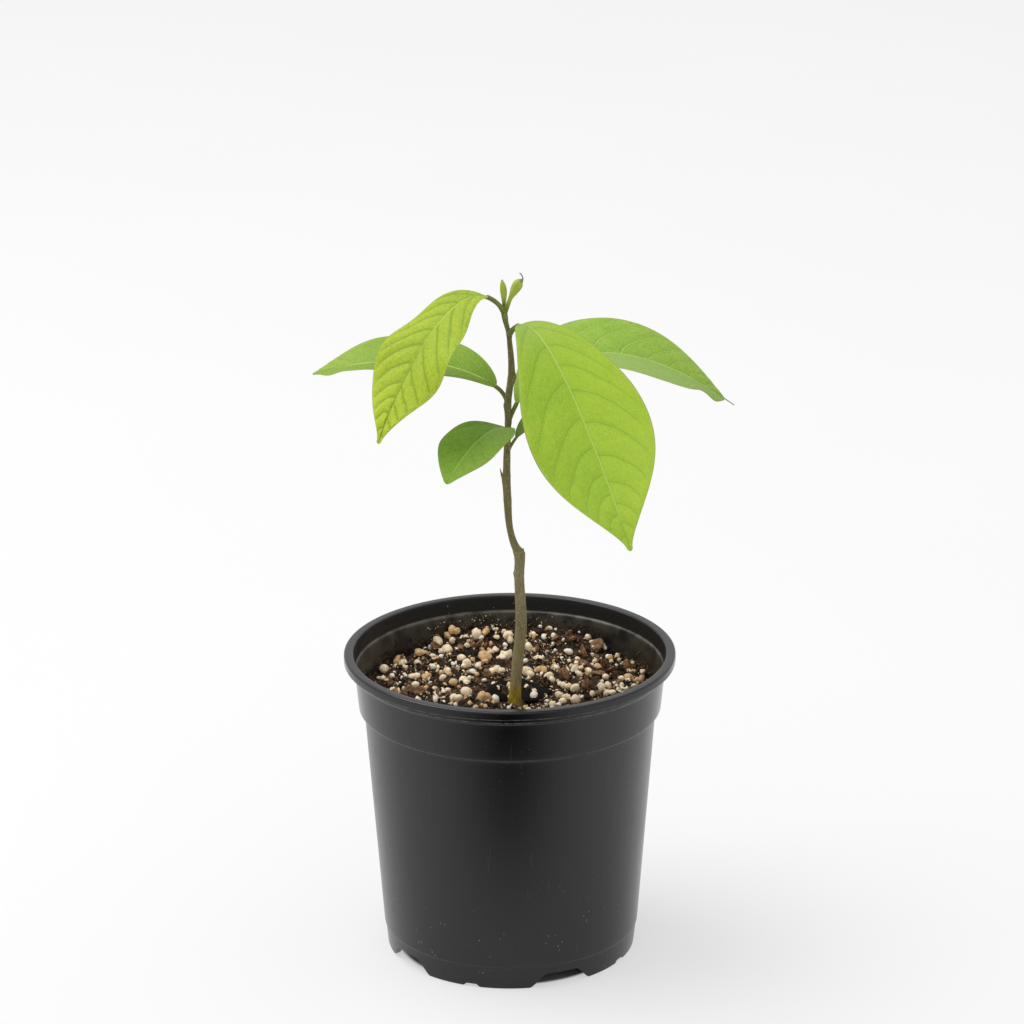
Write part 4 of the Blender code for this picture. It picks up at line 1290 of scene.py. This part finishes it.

# %% [markdown]
# ## The leaves
# Each leaf follows one rule with a row of sizes. Its stalk leaves the stem at a rise and a
# heading, and its midrib sinks under its own weight: most of the bend comes early, so the
# rise settles towards its last value like a cooling cup. Across the midrib the blade is as
# wide as a sine arch with a power that changes from base to tip, which draws the pointed
# outline. Fold, curl and wave lift it off the flat.
#
# The small right leaf's sizes are given as they are. The sizes of the others are the rounded
# results of another program, which fitted this rule by least squares to outlines and midribs
# that were read off the picture. The upper left leaf's turn and tip were changed afterwards.

# %% Leaf sizes
LEAVES = {
    "leaf_upper_left": dict(
        height=334.4, heading=205.0, turn=39.0, stalk=13.0, stalk_turn=0.0,
        rise=(64.0, 26.0, -48.5), settle=0.14, length=96.5, width=41.0,
        widest=0.98, base=0.61, tip=1.30, tilt=(-2.5, -11.5), fold=2.6, curl=-0.04,
        wave=0.12, waves=2.4, wave_start=0.04, wave_offset=0.43,
    ),
    "leaf_front_right": dict(
        height=323.1, heading=-52.0, turn=-15.0, stalk=10.0, stalk_turn=0.0,
        rise=(54.0, 27.0, -46.5), settle=0.10, length=136.0, width=61.0,
        widest=1.09, base=0.66, tip=1.27, tilt=(6.0, 25.5), fold=5.0, curl=0.02,
        wave=-0.02, waves=1.9, wave_start=-0.05, wave_offset=0.49,
    ),
    "leaf_rear_right": dict(
        height=279.4, heading=33.5, turn=-17.5, stalk=9.2, stalk_turn=0.0,
        rise=(56.5, 59.5, -47.5), settle=0.41, length=135.5, width=57.5,
        widest=0.96, base=0.82, tip=1.14, tilt=(-2.0, 32.0), fold=11.7, curl=-0.02,
        wave=0.02, waves=1.8, wave_start=-0.07, wave_offset=0.62,
    ),
    "leaf_rear_left": dict(
        height=287.0, heading=159.5, turn=13.5, stalk=11.7, stalk_turn=0.0,
        rise=(84.0, 28.5, -30.5), settle=0.66, length=95.0, width=40.7,
        widest=0.98, base=0.60, tip=0.98, tilt=(-10.5, -10.5), fold=13.9, curl=-0.01,
        wave=0.06, waves=1.7, wave_start=0.04, wave_offset=0.40,
    ),
    "leaf_lower_left": dict(
        height=270.7, heading=233.5, turn=8.0, stalk=10.4, stalk_turn=97.0,
        rise=(61.0, 24.5, -38.0), settle=0.47, length=59.0, width=33.3,
        widest=0.94, base=0.77, tip=0.86, tilt=(-0.5, -5.5), fold=7.8, curl=-0.01,
        wave=0.05, waves=2.1, wave_start=-0.01, wave_offset=1.34,
    ),
    "leaf_small_right": dict(
        height=262.5, heading=8.0, turn=6.0, stalk=8.5, stalk_turn=0.0,
        rise=(66.0, 55.0, 5.0), settle=0.50, length=36.0, width=19.0,
        widest=1.00, base=0.75, tip=0.95, tilt=(10.0, 10.0), fold=14.0, curl=0.0,
        wave=0.05, waves=1.5, wave_start=0.0, wave_offset=0.50,
    ),
}
SPINE_STEPS = 1200


def leaf_spine(leaf):
    """Fine steps along stalk and midrib: arc length, place, and the three directions there."""
    stalk = leaf["stalk"] * MM
    length = leaf["length"] * MM
    arc = np.linspace(0.0, stalk + length, SPINE_STEPS)
    on_stalk = np.clip(arc / stalk, 0.0, 1.0)
    on_blade = np.clip((arc - stalk) / length, 0.0, 1.0)
    foot_rise, blade_rise, tip_rise = np.radians(leaf["rise"])
    rise = foot_rise + (blade_rise - foot_rise) * on_stalk
    rise = rise + (tip_rise - blade_rise) * (1.0 - np.exp(-on_blade / leaf["settle"]))
    heading = leaf["heading"] + leaf["stalk_turn"] * (1.0 - on_stalk) + leaf["turn"] * on_blade
    heading = np.radians(heading)
    level = np.cos(rise)
    along = np.stack([level * np.cos(heading), level * np.sin(heading), np.sin(rise)], axis=-1)
    step = 0.5 * (along[1:] + along[:-1]) * arc[1]
    foot = stem_place(leaf["height"] * MM)
    place = foot + np.vstack([np.zeros(3), np.cumsum(step, axis=0)])
    flat = np.stack([-np.sin(heading), np.cos(heading), np.zeros(SPINE_STEPS)], axis=-1)
    up = np.cross(along, flat)
    first_tilt, last_tilt = np.radians(leaf["tilt"])
    tilt = first_tilt + (last_tilt - first_tilt) * on_blade
    aside = np.cos(tilt)[:, None] * flat + np.sin(tilt)[:, None] * up
    upward = np.cos(tilt)[:, None] * up - np.sin(tilt)[:, None] * flat
    return arc, place, aside, upward


def leaf_half_width(leaf, share):
    """Half the blade's width: a sine arch, whose power runs from base to tip for its two ends.

    A blade with a thumb ends in a round of that radius; one with a drip ends early, in a thread.
    """
    reach = np.clip(share / leaf.get("drip", 1.0), 0.0, 1.0)
    along = reach ** leaf["widest"]
    power = leaf["base"] + (leaf["tip"] - leaf["base"]) * along
    half = 0.5 * leaf["width"] * MM * np.sin(math.pi * along) ** power
    thumb = leaf.get("thumb", 0.0)
    cap = np.clip((share - 1.0) * leaf["length"] / max(thumb, 0.01) + 1.0, 0.0, 1.0)
    thumb = thumb * MM * np.sqrt(1.0 - cap ** 2) * smooth_step(0.72, 0.95, share)
    return np.hypot(half, thumb)


def leaf_lift(leaf, share, across, half_width):
    """How far the blade stands above its midrib: its fold, its curl and the wave of its edge."""
    fold = math.sin(math.radians(leaf["fold"])) * np.abs(across)
    phase = 2.0 * math.pi * (leaf["waves"] * share + leaf["wave_start"])
    wave = leaf["wave"] * np.sin(phase + leaf["wave_offset"] * np.sign(across))
    return half_width * (fold + (leaf["curl"] + wave) * across ** 2)


# %% [markdown]
# ## Veins
# The side veins leave the midrib, run out at a slant and bow towards the tip. Seen from the
# midrib, a vein has moved on by a slant and by a bow that grows with the square of the
# distance out. Taking both away again from any point tells where its own vein started. A
# number that counts the starts up along the midrib is then whole on every vein. It raises the
# blade between the veins, and the finish later draws its lines from it.
#
# Points on the veins of three leaves were read off the picture, and another program worked
# out starts, slants and bows from them by least squares. These results stand in both rows of
# the upper left and the front right leaf and in the right row of the rear right leaf, some of
# them rounded. The ends of those rows, all the other rows and some of the slants and bows
# were chosen.

# %% Vein field
VEINS = {
    "leaf_upper_left": dict(
        left=(0.16, 0.25, 0.35, 0.44, 0.55, 0.66, 0.745, 0.83), slant=(0.12, 1.30),
        right=(0.07, 0.19, 0.315, 0.45, 0.575, 0.68, 0.775, 0.86), bow=(0.215, 0.03),
        quilt=0.75, stalk_size=1.15, thumb=1.1),
    "leaf_front_right": dict(
        left=(0.06, 0.178, 0.331, 0.476, 0.594, 0.70, 0.779, 0.86), slant=(0.15, 0.15),
        right=(0.08, 0.175, 0.262, 0.37, 0.498, 0.629, 0.733, 0.82, 0.89), bow=(0.25, 0.24),
        quilt=0.34, stalk_size=1.25, thumb=1.3),
    "leaf_rear_right": dict(
        left=(0.10, 0.21, 0.33, 0.45, 0.56, 0.66, 0.75, 0.84), slant=(1.10, 0.66),
        right=(0.11, 0.23, 0.354, 0.482, 0.598, 0.692, 0.78, 0.86), bow=(0.15, 0.183),
        quilt=0.34, stalk_size=1.10, drip=0.957,
        lobe=(-1.0, 0.902, 0.046, 4.2)),
    "leaf_rear_left": dict(
        left=(0.07, 0.18, 0.31, 0.44, 0.56, 0.67, 0.77, 0.86), slant=(0.70, 0.70),
        right=(0.10, 0.22, 0.35, 0.48, 0.59, 0.70, 0.80, 0.88), bow=(0.18, 0.18),
        quilt=0.35, stalk_size=1.05, thumb=0.9,
        lobe=(1.0, 0.90, 0.05, 2.2)),
    "leaf_lower_left": dict(
        left=(0.12, 0.27, 0.42, 0.57, 0.71, 0.84), slant=(0.55, 0.55),
        right=(0.17, 0.32, 0.47, 0.61, 0.75, 0.87), bow=(0.20, 0.20),
        quilt=0.18, stalk_size=0.90, thumb=1.6),
    "leaf_small_right": dict(
        left=(0.15, 0.33, 0.52, 0.70, 0.86), slant=(0.55, 0.55),
        right=(0.22, 0.42, 0.60, 0.78), bow=(0.20, 0.20),
        quilt=0.15, stalk_size=0.75, thumb=0.8),
}
for name, more in VEINS.items():
    LEAVES[name].update(more)


def count_veins(starts, where):
    """A count that is a whole number at each start, and goes on evenly beyond both ends."""
    starts = np.array(starts)
    first, last = starts[1] - starts[0], starts[-1] - starts[-2]
    before = (starts[0] + 2.0) / first
    after = (3.0 - starts[-1]) / last
    places = np.concatenate([[-2.0], starts, [3.0]])
    counts = np.concatenate([[-before], np.arange(len(starts)), [len(starts) - 1 + after]])
    return np.interp(where, places, counts) + 40.0


def vein_field(leaf, share, across, half_width):
    """The vein count at each point, from where along the midrib its own vein would start."""
    wobble = layered_noise(np.stack(np.broadcast_arrays(
        11.0 * share, 3.5 * across, leaf["height"] * 0.1), axis=-1), 3, seed=6)
    share = share + 0.014 * wobble * smooth_step(0.0, 0.3, np.abs(across))
    out = np.abs(across) * half_width / (leaf["length"] * MM)
    local = half_width / (0.5 * leaf["width"] * MM)
    right = across > 0.0
    slant = np.where(right, leaf["slant"][1], leaf["slant"][0])
    bow = np.where(right, leaf["bow"][1], leaf["bow"][0])
    start = share - slant * out - bow * local * across ** 2
    counts = (count_veins(leaf["left"], start), count_veins(leaf["right"], start))
    return np.where(right, counts[1], counts[0])


def vein_wave(count):
    """From a count to 0 on a vein and 1 halfway between two."""
    return 1.0 - 2.0 * np.abs(count - np.floor(count) - 0.5)


# %% [markdown]
# ## Skinning a leaf
# A ring of a leaf starts as the round stalk. As the blade widens the ring flattens: its upper
# half becomes the upper face, its lower half the under face, and a rib stays under the
# middle. Points crowd near the midrib, where the rib needs them.

# %% Leaf builder
LEAF_HALF_THICKNESS = 0.17 * MM
LEAF_TIP_RADIUS = 0.22 * MM
LEAF_ROWS = 240
STALK_ROWS = 26
LEAF_COLUMNS = 56


def leaf_rings(leaf):
    """The leaf's rings, and for each point its share along and across, vein and face."""
    stalk = leaf["stalk"] * MM
    length = leaf["length"] * MM
    arc, place, aside, upward = leaf_spine(leaf)
    on_stalk = np.linspace(0.0, 1.0, STALK_ROWS, endpoint=False) * stalk
    even = np.linspace(0.0, 1.0, LEAF_ROWS)
    on_blade = 0.5 * (even + np.sin(0.5 * math.pi * even)) * length
    stations = np.concatenate([on_stalk, stalk + on_blade])
    share = ((stations - stalk) / length)[:, None]
    walk = np.linspace(1.0, -1.0, LEAF_COLUMNS)
    walk = np.concatenate([walk, -walk])[None, :]
    face = np.concatenate([np.ones(LEAF_COLUMNS), -np.ones(LEAF_COLUMNS)])[None, :]
    across = np.sign(walk) * np.abs(walk) ** 1.5
    blade = leaf_half_width(leaf, share)
    stalk_size = leaf["stalk_size"] * MM
    side, where, reach, out = leaf.get("lobe", (1.0, 0.9, 0.05, 0.0))
    lobe = np.exp(-((share - where) / reach) ** 2)
    lobe = lobe - 0.35 * np.exp(-((share - where + 2.0 * reach) / reach) ** 2)
    edge = out * MM * lobe * smooth_step(0.0, 1.0, side * across)
    core = np.interp(share, (0.0, 0.12, 0.6, 1.0), (1.0, 0.72, 0.36, 0.0)) * stalk_size
    core = core + LEAF_TIP_RADIUS * np.clip(share, 0.0, 1.0)
    swell = 1.0 + 0.25 * np.exp(-((stations[:, None] - 1.5 * MM) / (2.0 * MM)) ** 2)
    core = core * swell
    flat = smooth_step(0.15, 2.2, blade / core) * np.ones_like(walk)
    width = np.hypot(blade, core) + edge
    sideways = (1.0 - flat) * core * np.sin(0.5 * math.pi * walk) + flat * width * across
    distance = np.abs(sideways)
    rib = core * np.exp(-(distance / (0.75 * core + 0.12 * MM)) ** 2)
    margin = np.sqrt(np.clip(1.0 - np.abs(across) ** 24, 0.0, 1.0))
    thin = LEAF_HALF_THICKNESS * (0.35 + 0.65 * margin) * (np.abs(walk) < 1.0)
    above = thin + 0.16 * rib
    below = thin + 0.95 * rib
    depth = np.where(face > 0.0, above, -below)
    round_depth = face * core * np.cos(0.5 * math.pi * walk)
    count = vein_field(leaf, share, across, blade)
    inside = smooth_step(0.0, 0.12, np.abs(across)) * smooth_step(1.0, 0.86, np.abs(across))
    inside = inside * smooth_step(0.02, 0.14, share) * smooth_step(1.0, 0.9, share)
    quilt = leaf["quilt"] * MM * (1.0 - (1.0 - vein_wave(count)) ** 2) * inside
    ripple = layered_noise(np.stack(np.broadcast_arrays(
        7.0 * share, 3.0 * across, 3.0 + leaf["height"] * 0.1), axis=-1), 3, seed=4)
    ripple = 0.012 * blade * ripple * smooth_step(0.1, 0.6, np.abs(across))
    lift = leaf_lift(leaf, share, across, blade) + quilt + ripple
    total = (1.0 - flat) * round_depth + flat * (lift + depth)
    flatten = math.cos(math.radians(leaf["fold"]))
    rings = np.empty((*total.shape, 3))
    for axis in range(3):
        middle = np.interp(stations, arc, place[:, axis])[:, None]
        side = np.interp(stations, arc, aside[:, axis])[:, None]
        top = np.interp(stations, arc, upward[:, axis])[:, None]
        rings[..., axis] = middle + side * sideways * flatten + top * total
    fields = {
        "along": share + 0.0 * walk,
        "across": across + 0.0 * share,
        "count": count,
        "face": 0.5 + 0.5 * face + 0.0 * share,
        "rib": np.exp(-(distance / (0.28 * core + 0.20 * MM)) ** 2),
        "blade": flat,
    }
    return rings, fields


# %% [markdown]
# ## Leaf colour
# A young leaf is never one green. The blade is yellower between the veins and darker beside
# them and the midrib, which is painted shade of the quilted relief. Its base is dull, partly
# where the down is thick and partly as a greyish painted sheen, one half is tinted with painted
# light and shade for how it faces the light, and its midrib is a light line that fades.
# The smallest veins make a net, drawn here as cells in the leaf's own directions, so that it
# follows the side veins. The under face is paler and duller.

# %% Leaf finishes
UNDER_LIGHT = linear(150, 172, 104)
UNDER_DARK = linear(132, 158, 88)
UNDER_VEIN = linear(172, 188, 118)
STALK_LIGHT = linear(132, 138, 74)
STALK_DARK = linear(100, 104, 48)
MARGIN = linear(138, 136, 84)
DRY_TIP = linear(128, 116, 92)
DARK_RIB = linear(104, 136, 34)


def finish_leaf(name, greens, rib, vein, base, tip, side, lines, rib_span, dry=0.0, speckle=0.34):
    """A leaf's finish.

    greens: its light, middle and dark green. rib, vein: the colours of midrib and side veins.
    base, tip: what its two ends turn to; the base's greyish tone is partly a painted sheen.
    side: which half gets painted light and shade (1 or -1), its colour and how much, for how
    that half faces the light. lines: how strong the veins and the painted shade of the quilted
    relief beside them and the midrib are. rib_span: where along the midrib its light line
    starts to fade, and where it has gone. dry: how brown its tip is. speckle: how strong the
    fine grain is.
    """
    light, middle, dark = greens
    pale = tuple(min(1.0, 1.22 * value + 0.012) for value in light)
    finish = Finish(name, Specular_IOR_Level=0.24)
    along = finish.field("along")
    across = finish.field("across")
    out = across.do("ABSOLUTE", across)
    count = finish.field("count")
    wave = 1.0 - 2.0 * out.do("ABSOLUTE", count.do("FRACT", count) - 0.5)
    centre = finish.field("rib")
    face = finish.field("face")
    blade = finish.field("blade")
    cloud = finish.noise(70.0, 3.0)
    patch = finish.noise(300.0, 3.0)
    grain = finish.noise(950.0, 3.0, roughness=0.6)
    own = finish.node("ShaderNodeCombineXYZ", None, {0: count * 4.5, 1: across * 20.0, 2: patch})
    net = finish.node(
        "ShaderNodeTexVoronoi", {"feature": "DISTANCE_TO_EDGE"}, {"Vector": own, "Scale": 1.0})
    net = net.step(0.0, 0.11)
    fine = finish.cells(900.0, "DISTANCE_TO_EDGE").step(0.0, 0.16)
    tone = finish.blend(cloud.step(0.30, 0.70) * 0.55 + patch.step(0.3, 0.7) * 0.45, middle, light)
    tone = finish.blend(out.step(0.60, 0.05) * 0.30, tone, middle)
    # Toward the base the blade turns a duller tone, partly its own and partly a greyish painted sheen.
    tone = finish.blend(along.step(0.30, 0.02) * base[1], tone, base[0])
    tone = finish.blend(along.step(0.45, 1.0) * tip[1], tone, tip[0])
    # One half of the blade is tinted with painted light and shade, for how that half faces the light.
    half = (across * side[0]).step(-0.02, 0.12)
    tone = finish.blend(half * side[2], tone, side[1])
    tone = finish.blend(grain.step(0.56, 0.30) * speckle, tone, dark)
    tone = finish.blend(grain.step(0.46, 0.70) * speckle, tone, pale)
    tone = finish.blend((1.0 - net) * 0.24, tone, pale)
    tone = finish.blend((1.0 - fine) * 0.24, tone, pale)
    reach = out.step(1.0, 0.72) * out.step(0.0, 0.04)
    # Beside each side vein the blade is darkened: painted shade of the quilted relief.
    tone = finish.blend(wave.step(0.36, 0.0) * reach * lines[1], tone, dark)
    thin = wave.step(0.055, 0.012) * (0.55 + 0.9 * patch)
    tone = finish.blend(thin * reach * lines[0], tone, vein)
    tone = finish.blend(out.step(0.972, 0.992) * blade * 0.75, tone, MARGIN)
    # Beside the midrib the blade is darkened as well: painted shade.
    beside = centre.step(0.0, 0.35) * lines[1] * 0.8
    tone = finish.blend(beside, tone, dark)
    line = centre.step(0.30, 0.80)
    shown = along.step(rib_span[1], rib_span[0]) * along.step(0.03, 0.12)
    tone = finish.blend(line * 0.55 * along.step(0.05, 0.3), tone, DARK_RIB)
    tone = finish.blend(line * shown, tone, rib)
    tone = finish.blend(along.step(0.955, 0.975) * dry, tone, DRY_TIP)
    under = finish.blend(patch, UNDER_DARK, UNDER_LIGHT)
    under = finish.blend(wave.step(0.09, 0.02) * reach * 0.6, under, UNDER_VEIN)
    under = finish.blend((1.0 - net) * 0.25, under, UNDER_DARK)
    under = finish.blend(line * 0.7, under, UNDER_VEIN)
    tone = finish.blend((1.0 - face) * blade * 0.9, tone, under)
    stalk = finish.blend(patch, STALK_DARK, STALK_LIGHT)
    tone = finish.blend(blade.step(0.75, 0.15), tone, stalk)
    finish.colour("Base Color", tone)
    finish.colour("Roughness", 0.48 + 0.14 * patch + 0.08 * (1.0 - net))
    relief = net * 0.5 + fine * 0.2 + grain * 0.4 + wave.step(0.0, 0.10) * 0.5
    finish.bump(relief, 0.10 * MM, 0.6)
    return finish


LEAF_FINISHES = {
    "leaf_upper_left": finish_leaf(
        "leaf_yellow_green",
        (linear(159, 177, 40), linear(134, 161, 38), linear(84, 122, 24)),
        linear(176, 194, 76), linear(88, 124, 28), (linear(122, 152, 40), 0.5),
        (linear(184, 198, 52), 0.6), (1, linear(150, 178, 44), 0.2), (0.50, 0.34), (0.30, 0.62)),
    "leaf_front_right": finish_leaf(
        "leaf_bright_green",
        (linear(153, 181, 46), linear(132, 168, 43), linear(92, 140, 30)),
        linear(168, 194, 88), linear(88, 132, 32), (linear(130, 156, 72), 0.85),
        (linear(150, 174, 56), 0.3), (1, linear(160, 184, 46), 0.30), (0.36, 0.15), (0.80, 1.0),
        speckle=0.18),
    "leaf_rear_right": finish_leaf(
        "leaf_mid_green",
        (linear(148, 178, 64), linear(122, 160, 48), linear(88, 132, 34)),
        linear(178, 204, 120), linear(184, 204, 104), (linear(128, 162, 50), 0.5),
        (linear(146, 174, 80), 0.4), (-1, linear(130, 156, 86), 0.75), (0.70, 0.26),
        (0.75, 1.0), dry=0.9),
    "leaf_rear_left": finish_leaf(
        "leaf_mid_green_left",
        (linear(134, 162, 46), linear(108, 146, 34), linear(76, 118, 22)),
        linear(190, 212, 116), linear(176, 198, 92), (linear(108, 142, 34), 0.6),
        (linear(148, 174, 72), 0.95), (1, linear(96, 122, 40), 0.45), (0.60, 0.24), (0.70, 0.95)),
    "leaf_lower_left": finish_leaf(
        "leaf_dark_green",
        (linear(124, 162, 46), linear(96, 138, 26), linear(62, 104, 12)),
        linear(164, 186, 100), linear(122, 156, 56), (linear(112, 136, 68), 0.9),
        (linear(138, 172, 58), 0.7), (1, linear(130, 162, 60), 0.6), (0.16, 0.12), (0.80, 1.0)),
    "leaf_small_right": finish_leaf(
        "leaf_olive_green",
        (linear(124, 150, 52), linear(98, 124, 38), linear(72, 98, 26)),
        linear(146, 164, 84), linear(122, 148, 60), (linear(110, 130, 60), 0.6),
        (linear(132, 156, 58), 0.5), (1, linear(120, 144, 54), 0.4), (0.25, 0.20), (0.7, 1.0)),
}
LEAF_SLOTS = {
    "leaf_upper_left": "leaf_yellow_green",
    "leaf_front_right": "leaf_bright_green",
    "leaf_rear_right": "leaf_mid_green",
    "leaf_rear_left": "leaf_mid_green",
    "leaf_lower_left": "leaf_dark_green",
    "leaf_small_right": "leaf_dark_green",
}
for name, leaf in LEAVES.items():
    rings, fields = leaf_rings(leaf)
    blade = skin(f"{name}_blade", rings, fields)
    settle(blade, LEAF_FINISHES[name], LEAF_SLOTS[name], name)

# %% [markdown]
# ## The young shoots
# Two shoots stand in the fork: a slim folded leaf, and a fatter one that still carries the
# dry thread of its bud. Each is a row of round sections through a few chosen places, with a
# smooth curve through them, a crease along one side, and down that only shows as a grain.

# %% Shoots
SHOOTS = {
    "shoot_narrow": (
        (-2.2, -9.2, 336.0, 1.2),
        (-2.0, -8.9, 339.0, 1.8),
        (-2.0, -8.8, 342.5, 2.9),
        (-2.2, -8.8, 345.5, 3.3),
        (-2.5, -8.9, 348.0, 2.6),
        (-2.7, -9.0, 349.6, 1.6),
        (-2.8, -9.0, 350.6, 0.7),
    ),
    "shoot_broad": (
        (-1.8, -10.3, 333.6, 2.6),
        (-0.2, -10.7, 338.4, 2.3),
        (1.3, -10.9, 342.2, 2.3),
        (2.7, -11.0, 345.0, 3.8),
        (4.1, -11.0, 347.6, 5.0),
        (5.5, -11.0, 349.8, 4.3),
        (6.7, -11.0, 351.0, 1.7),
        (7.2, -11.0, 351.7, 0.7),
        (6.9, -11.0, 352.9, 0.6),
        (6.4, -11.0, 353.8, 0.6),
        (5.6, -11.0, 354.6, 0.5),
    ),
}
SHOOT_ROWS = 120
SHOOT_SIDES = 32


def shoot_rings(stations):
    """Round sections across a smooth path, with a shallow crease along the side that faces -Y."""
    table = np.array(stations) * MM
    steps = np.linalg.norm(np.diff(table[:, :3], axis=0), axis=1)
    arc = np.concatenate([[0.0], np.cumsum(steps)])
    fine = np.linspace(0.0, arc[-1], SHOOT_ROWS)
    path = np.stack([smooth_through(fine, arc, table[:, axis]) for axis in range(3)], axis=-1)
    radius = np.maximum(smooth_through(fine, arc, table[:, 3]) / 2.0, 0.16 * MM)
    way = np.gradient(path, axis=0)
    way = way / np.linalg.norm(way, axis=1, keepdims=True)
    side = np.cross(np.array([0.0, 1.0, 0.0]), way)
    side = side / np.linalg.norm(side, axis=1, keepdims=True)
    other = np.cross(way, side)
    turn = np.linspace(0.0, 2.0 * math.pi, SHOOT_SIDES, endpoint=False)
    crease = 1.0 - 0.16 * np.exp(-(((turn - 1.5 * math.pi) / 0.35) ** 2))
    size = radius[:, None] * crease[None, :]
    rings = path[:, None, :] + size[..., None] * (
        np.cos(turn)[None, :, None] * side[:, None, :]
        + 0.85 * np.sin(turn)[None, :, None] * other[:, None, :]
    )
    share = (fine / arc[-1])[:, None] + 0.0 * turn
    return rings, {"along": share}


def finish_shoot(name, thread):
    """Pale downy green that turns brown at the tip, or along the dry thread."""
    finish = Finish(name, Specular_IOR_Level=0.25)
    along = finish.field("along")
    down = finish.noise(1800.0, 3.0)
    cloud = finish.noise(300.0, 2.0)
    tone = finish.blend(cloud, linear(140, 160, 56), linear(176, 190, 74))
    tone = finish.blend(down.step(0.50, 0.75) * 0.35, tone, linear(204, 208, 124))
    tone = finish.blend(along.step(0.40, 0.10) * 0.9, tone, linear(98, 112, 42))
    tone = finish.blend(along.step(thread, thread + 0.06), tone, linear(134, 122, 96))
    finish.colour("Base Color", tone)
    finish.colour("Roughness", 0.6 + 0.25 * down)
    finish.bump(down, 0.08 * MM, 0.8)
    return finish


for name, thread in (("shoot_narrow", 0.96), ("shoot_broad", 0.76)):
    rings, fields = shoot_rings(SHOOTS[name])
    shoot = skin(f"{name}_bud", rings, fields)
    settle(shoot, finish_shoot(f"{name}_down", thread), "young_shoot", name)
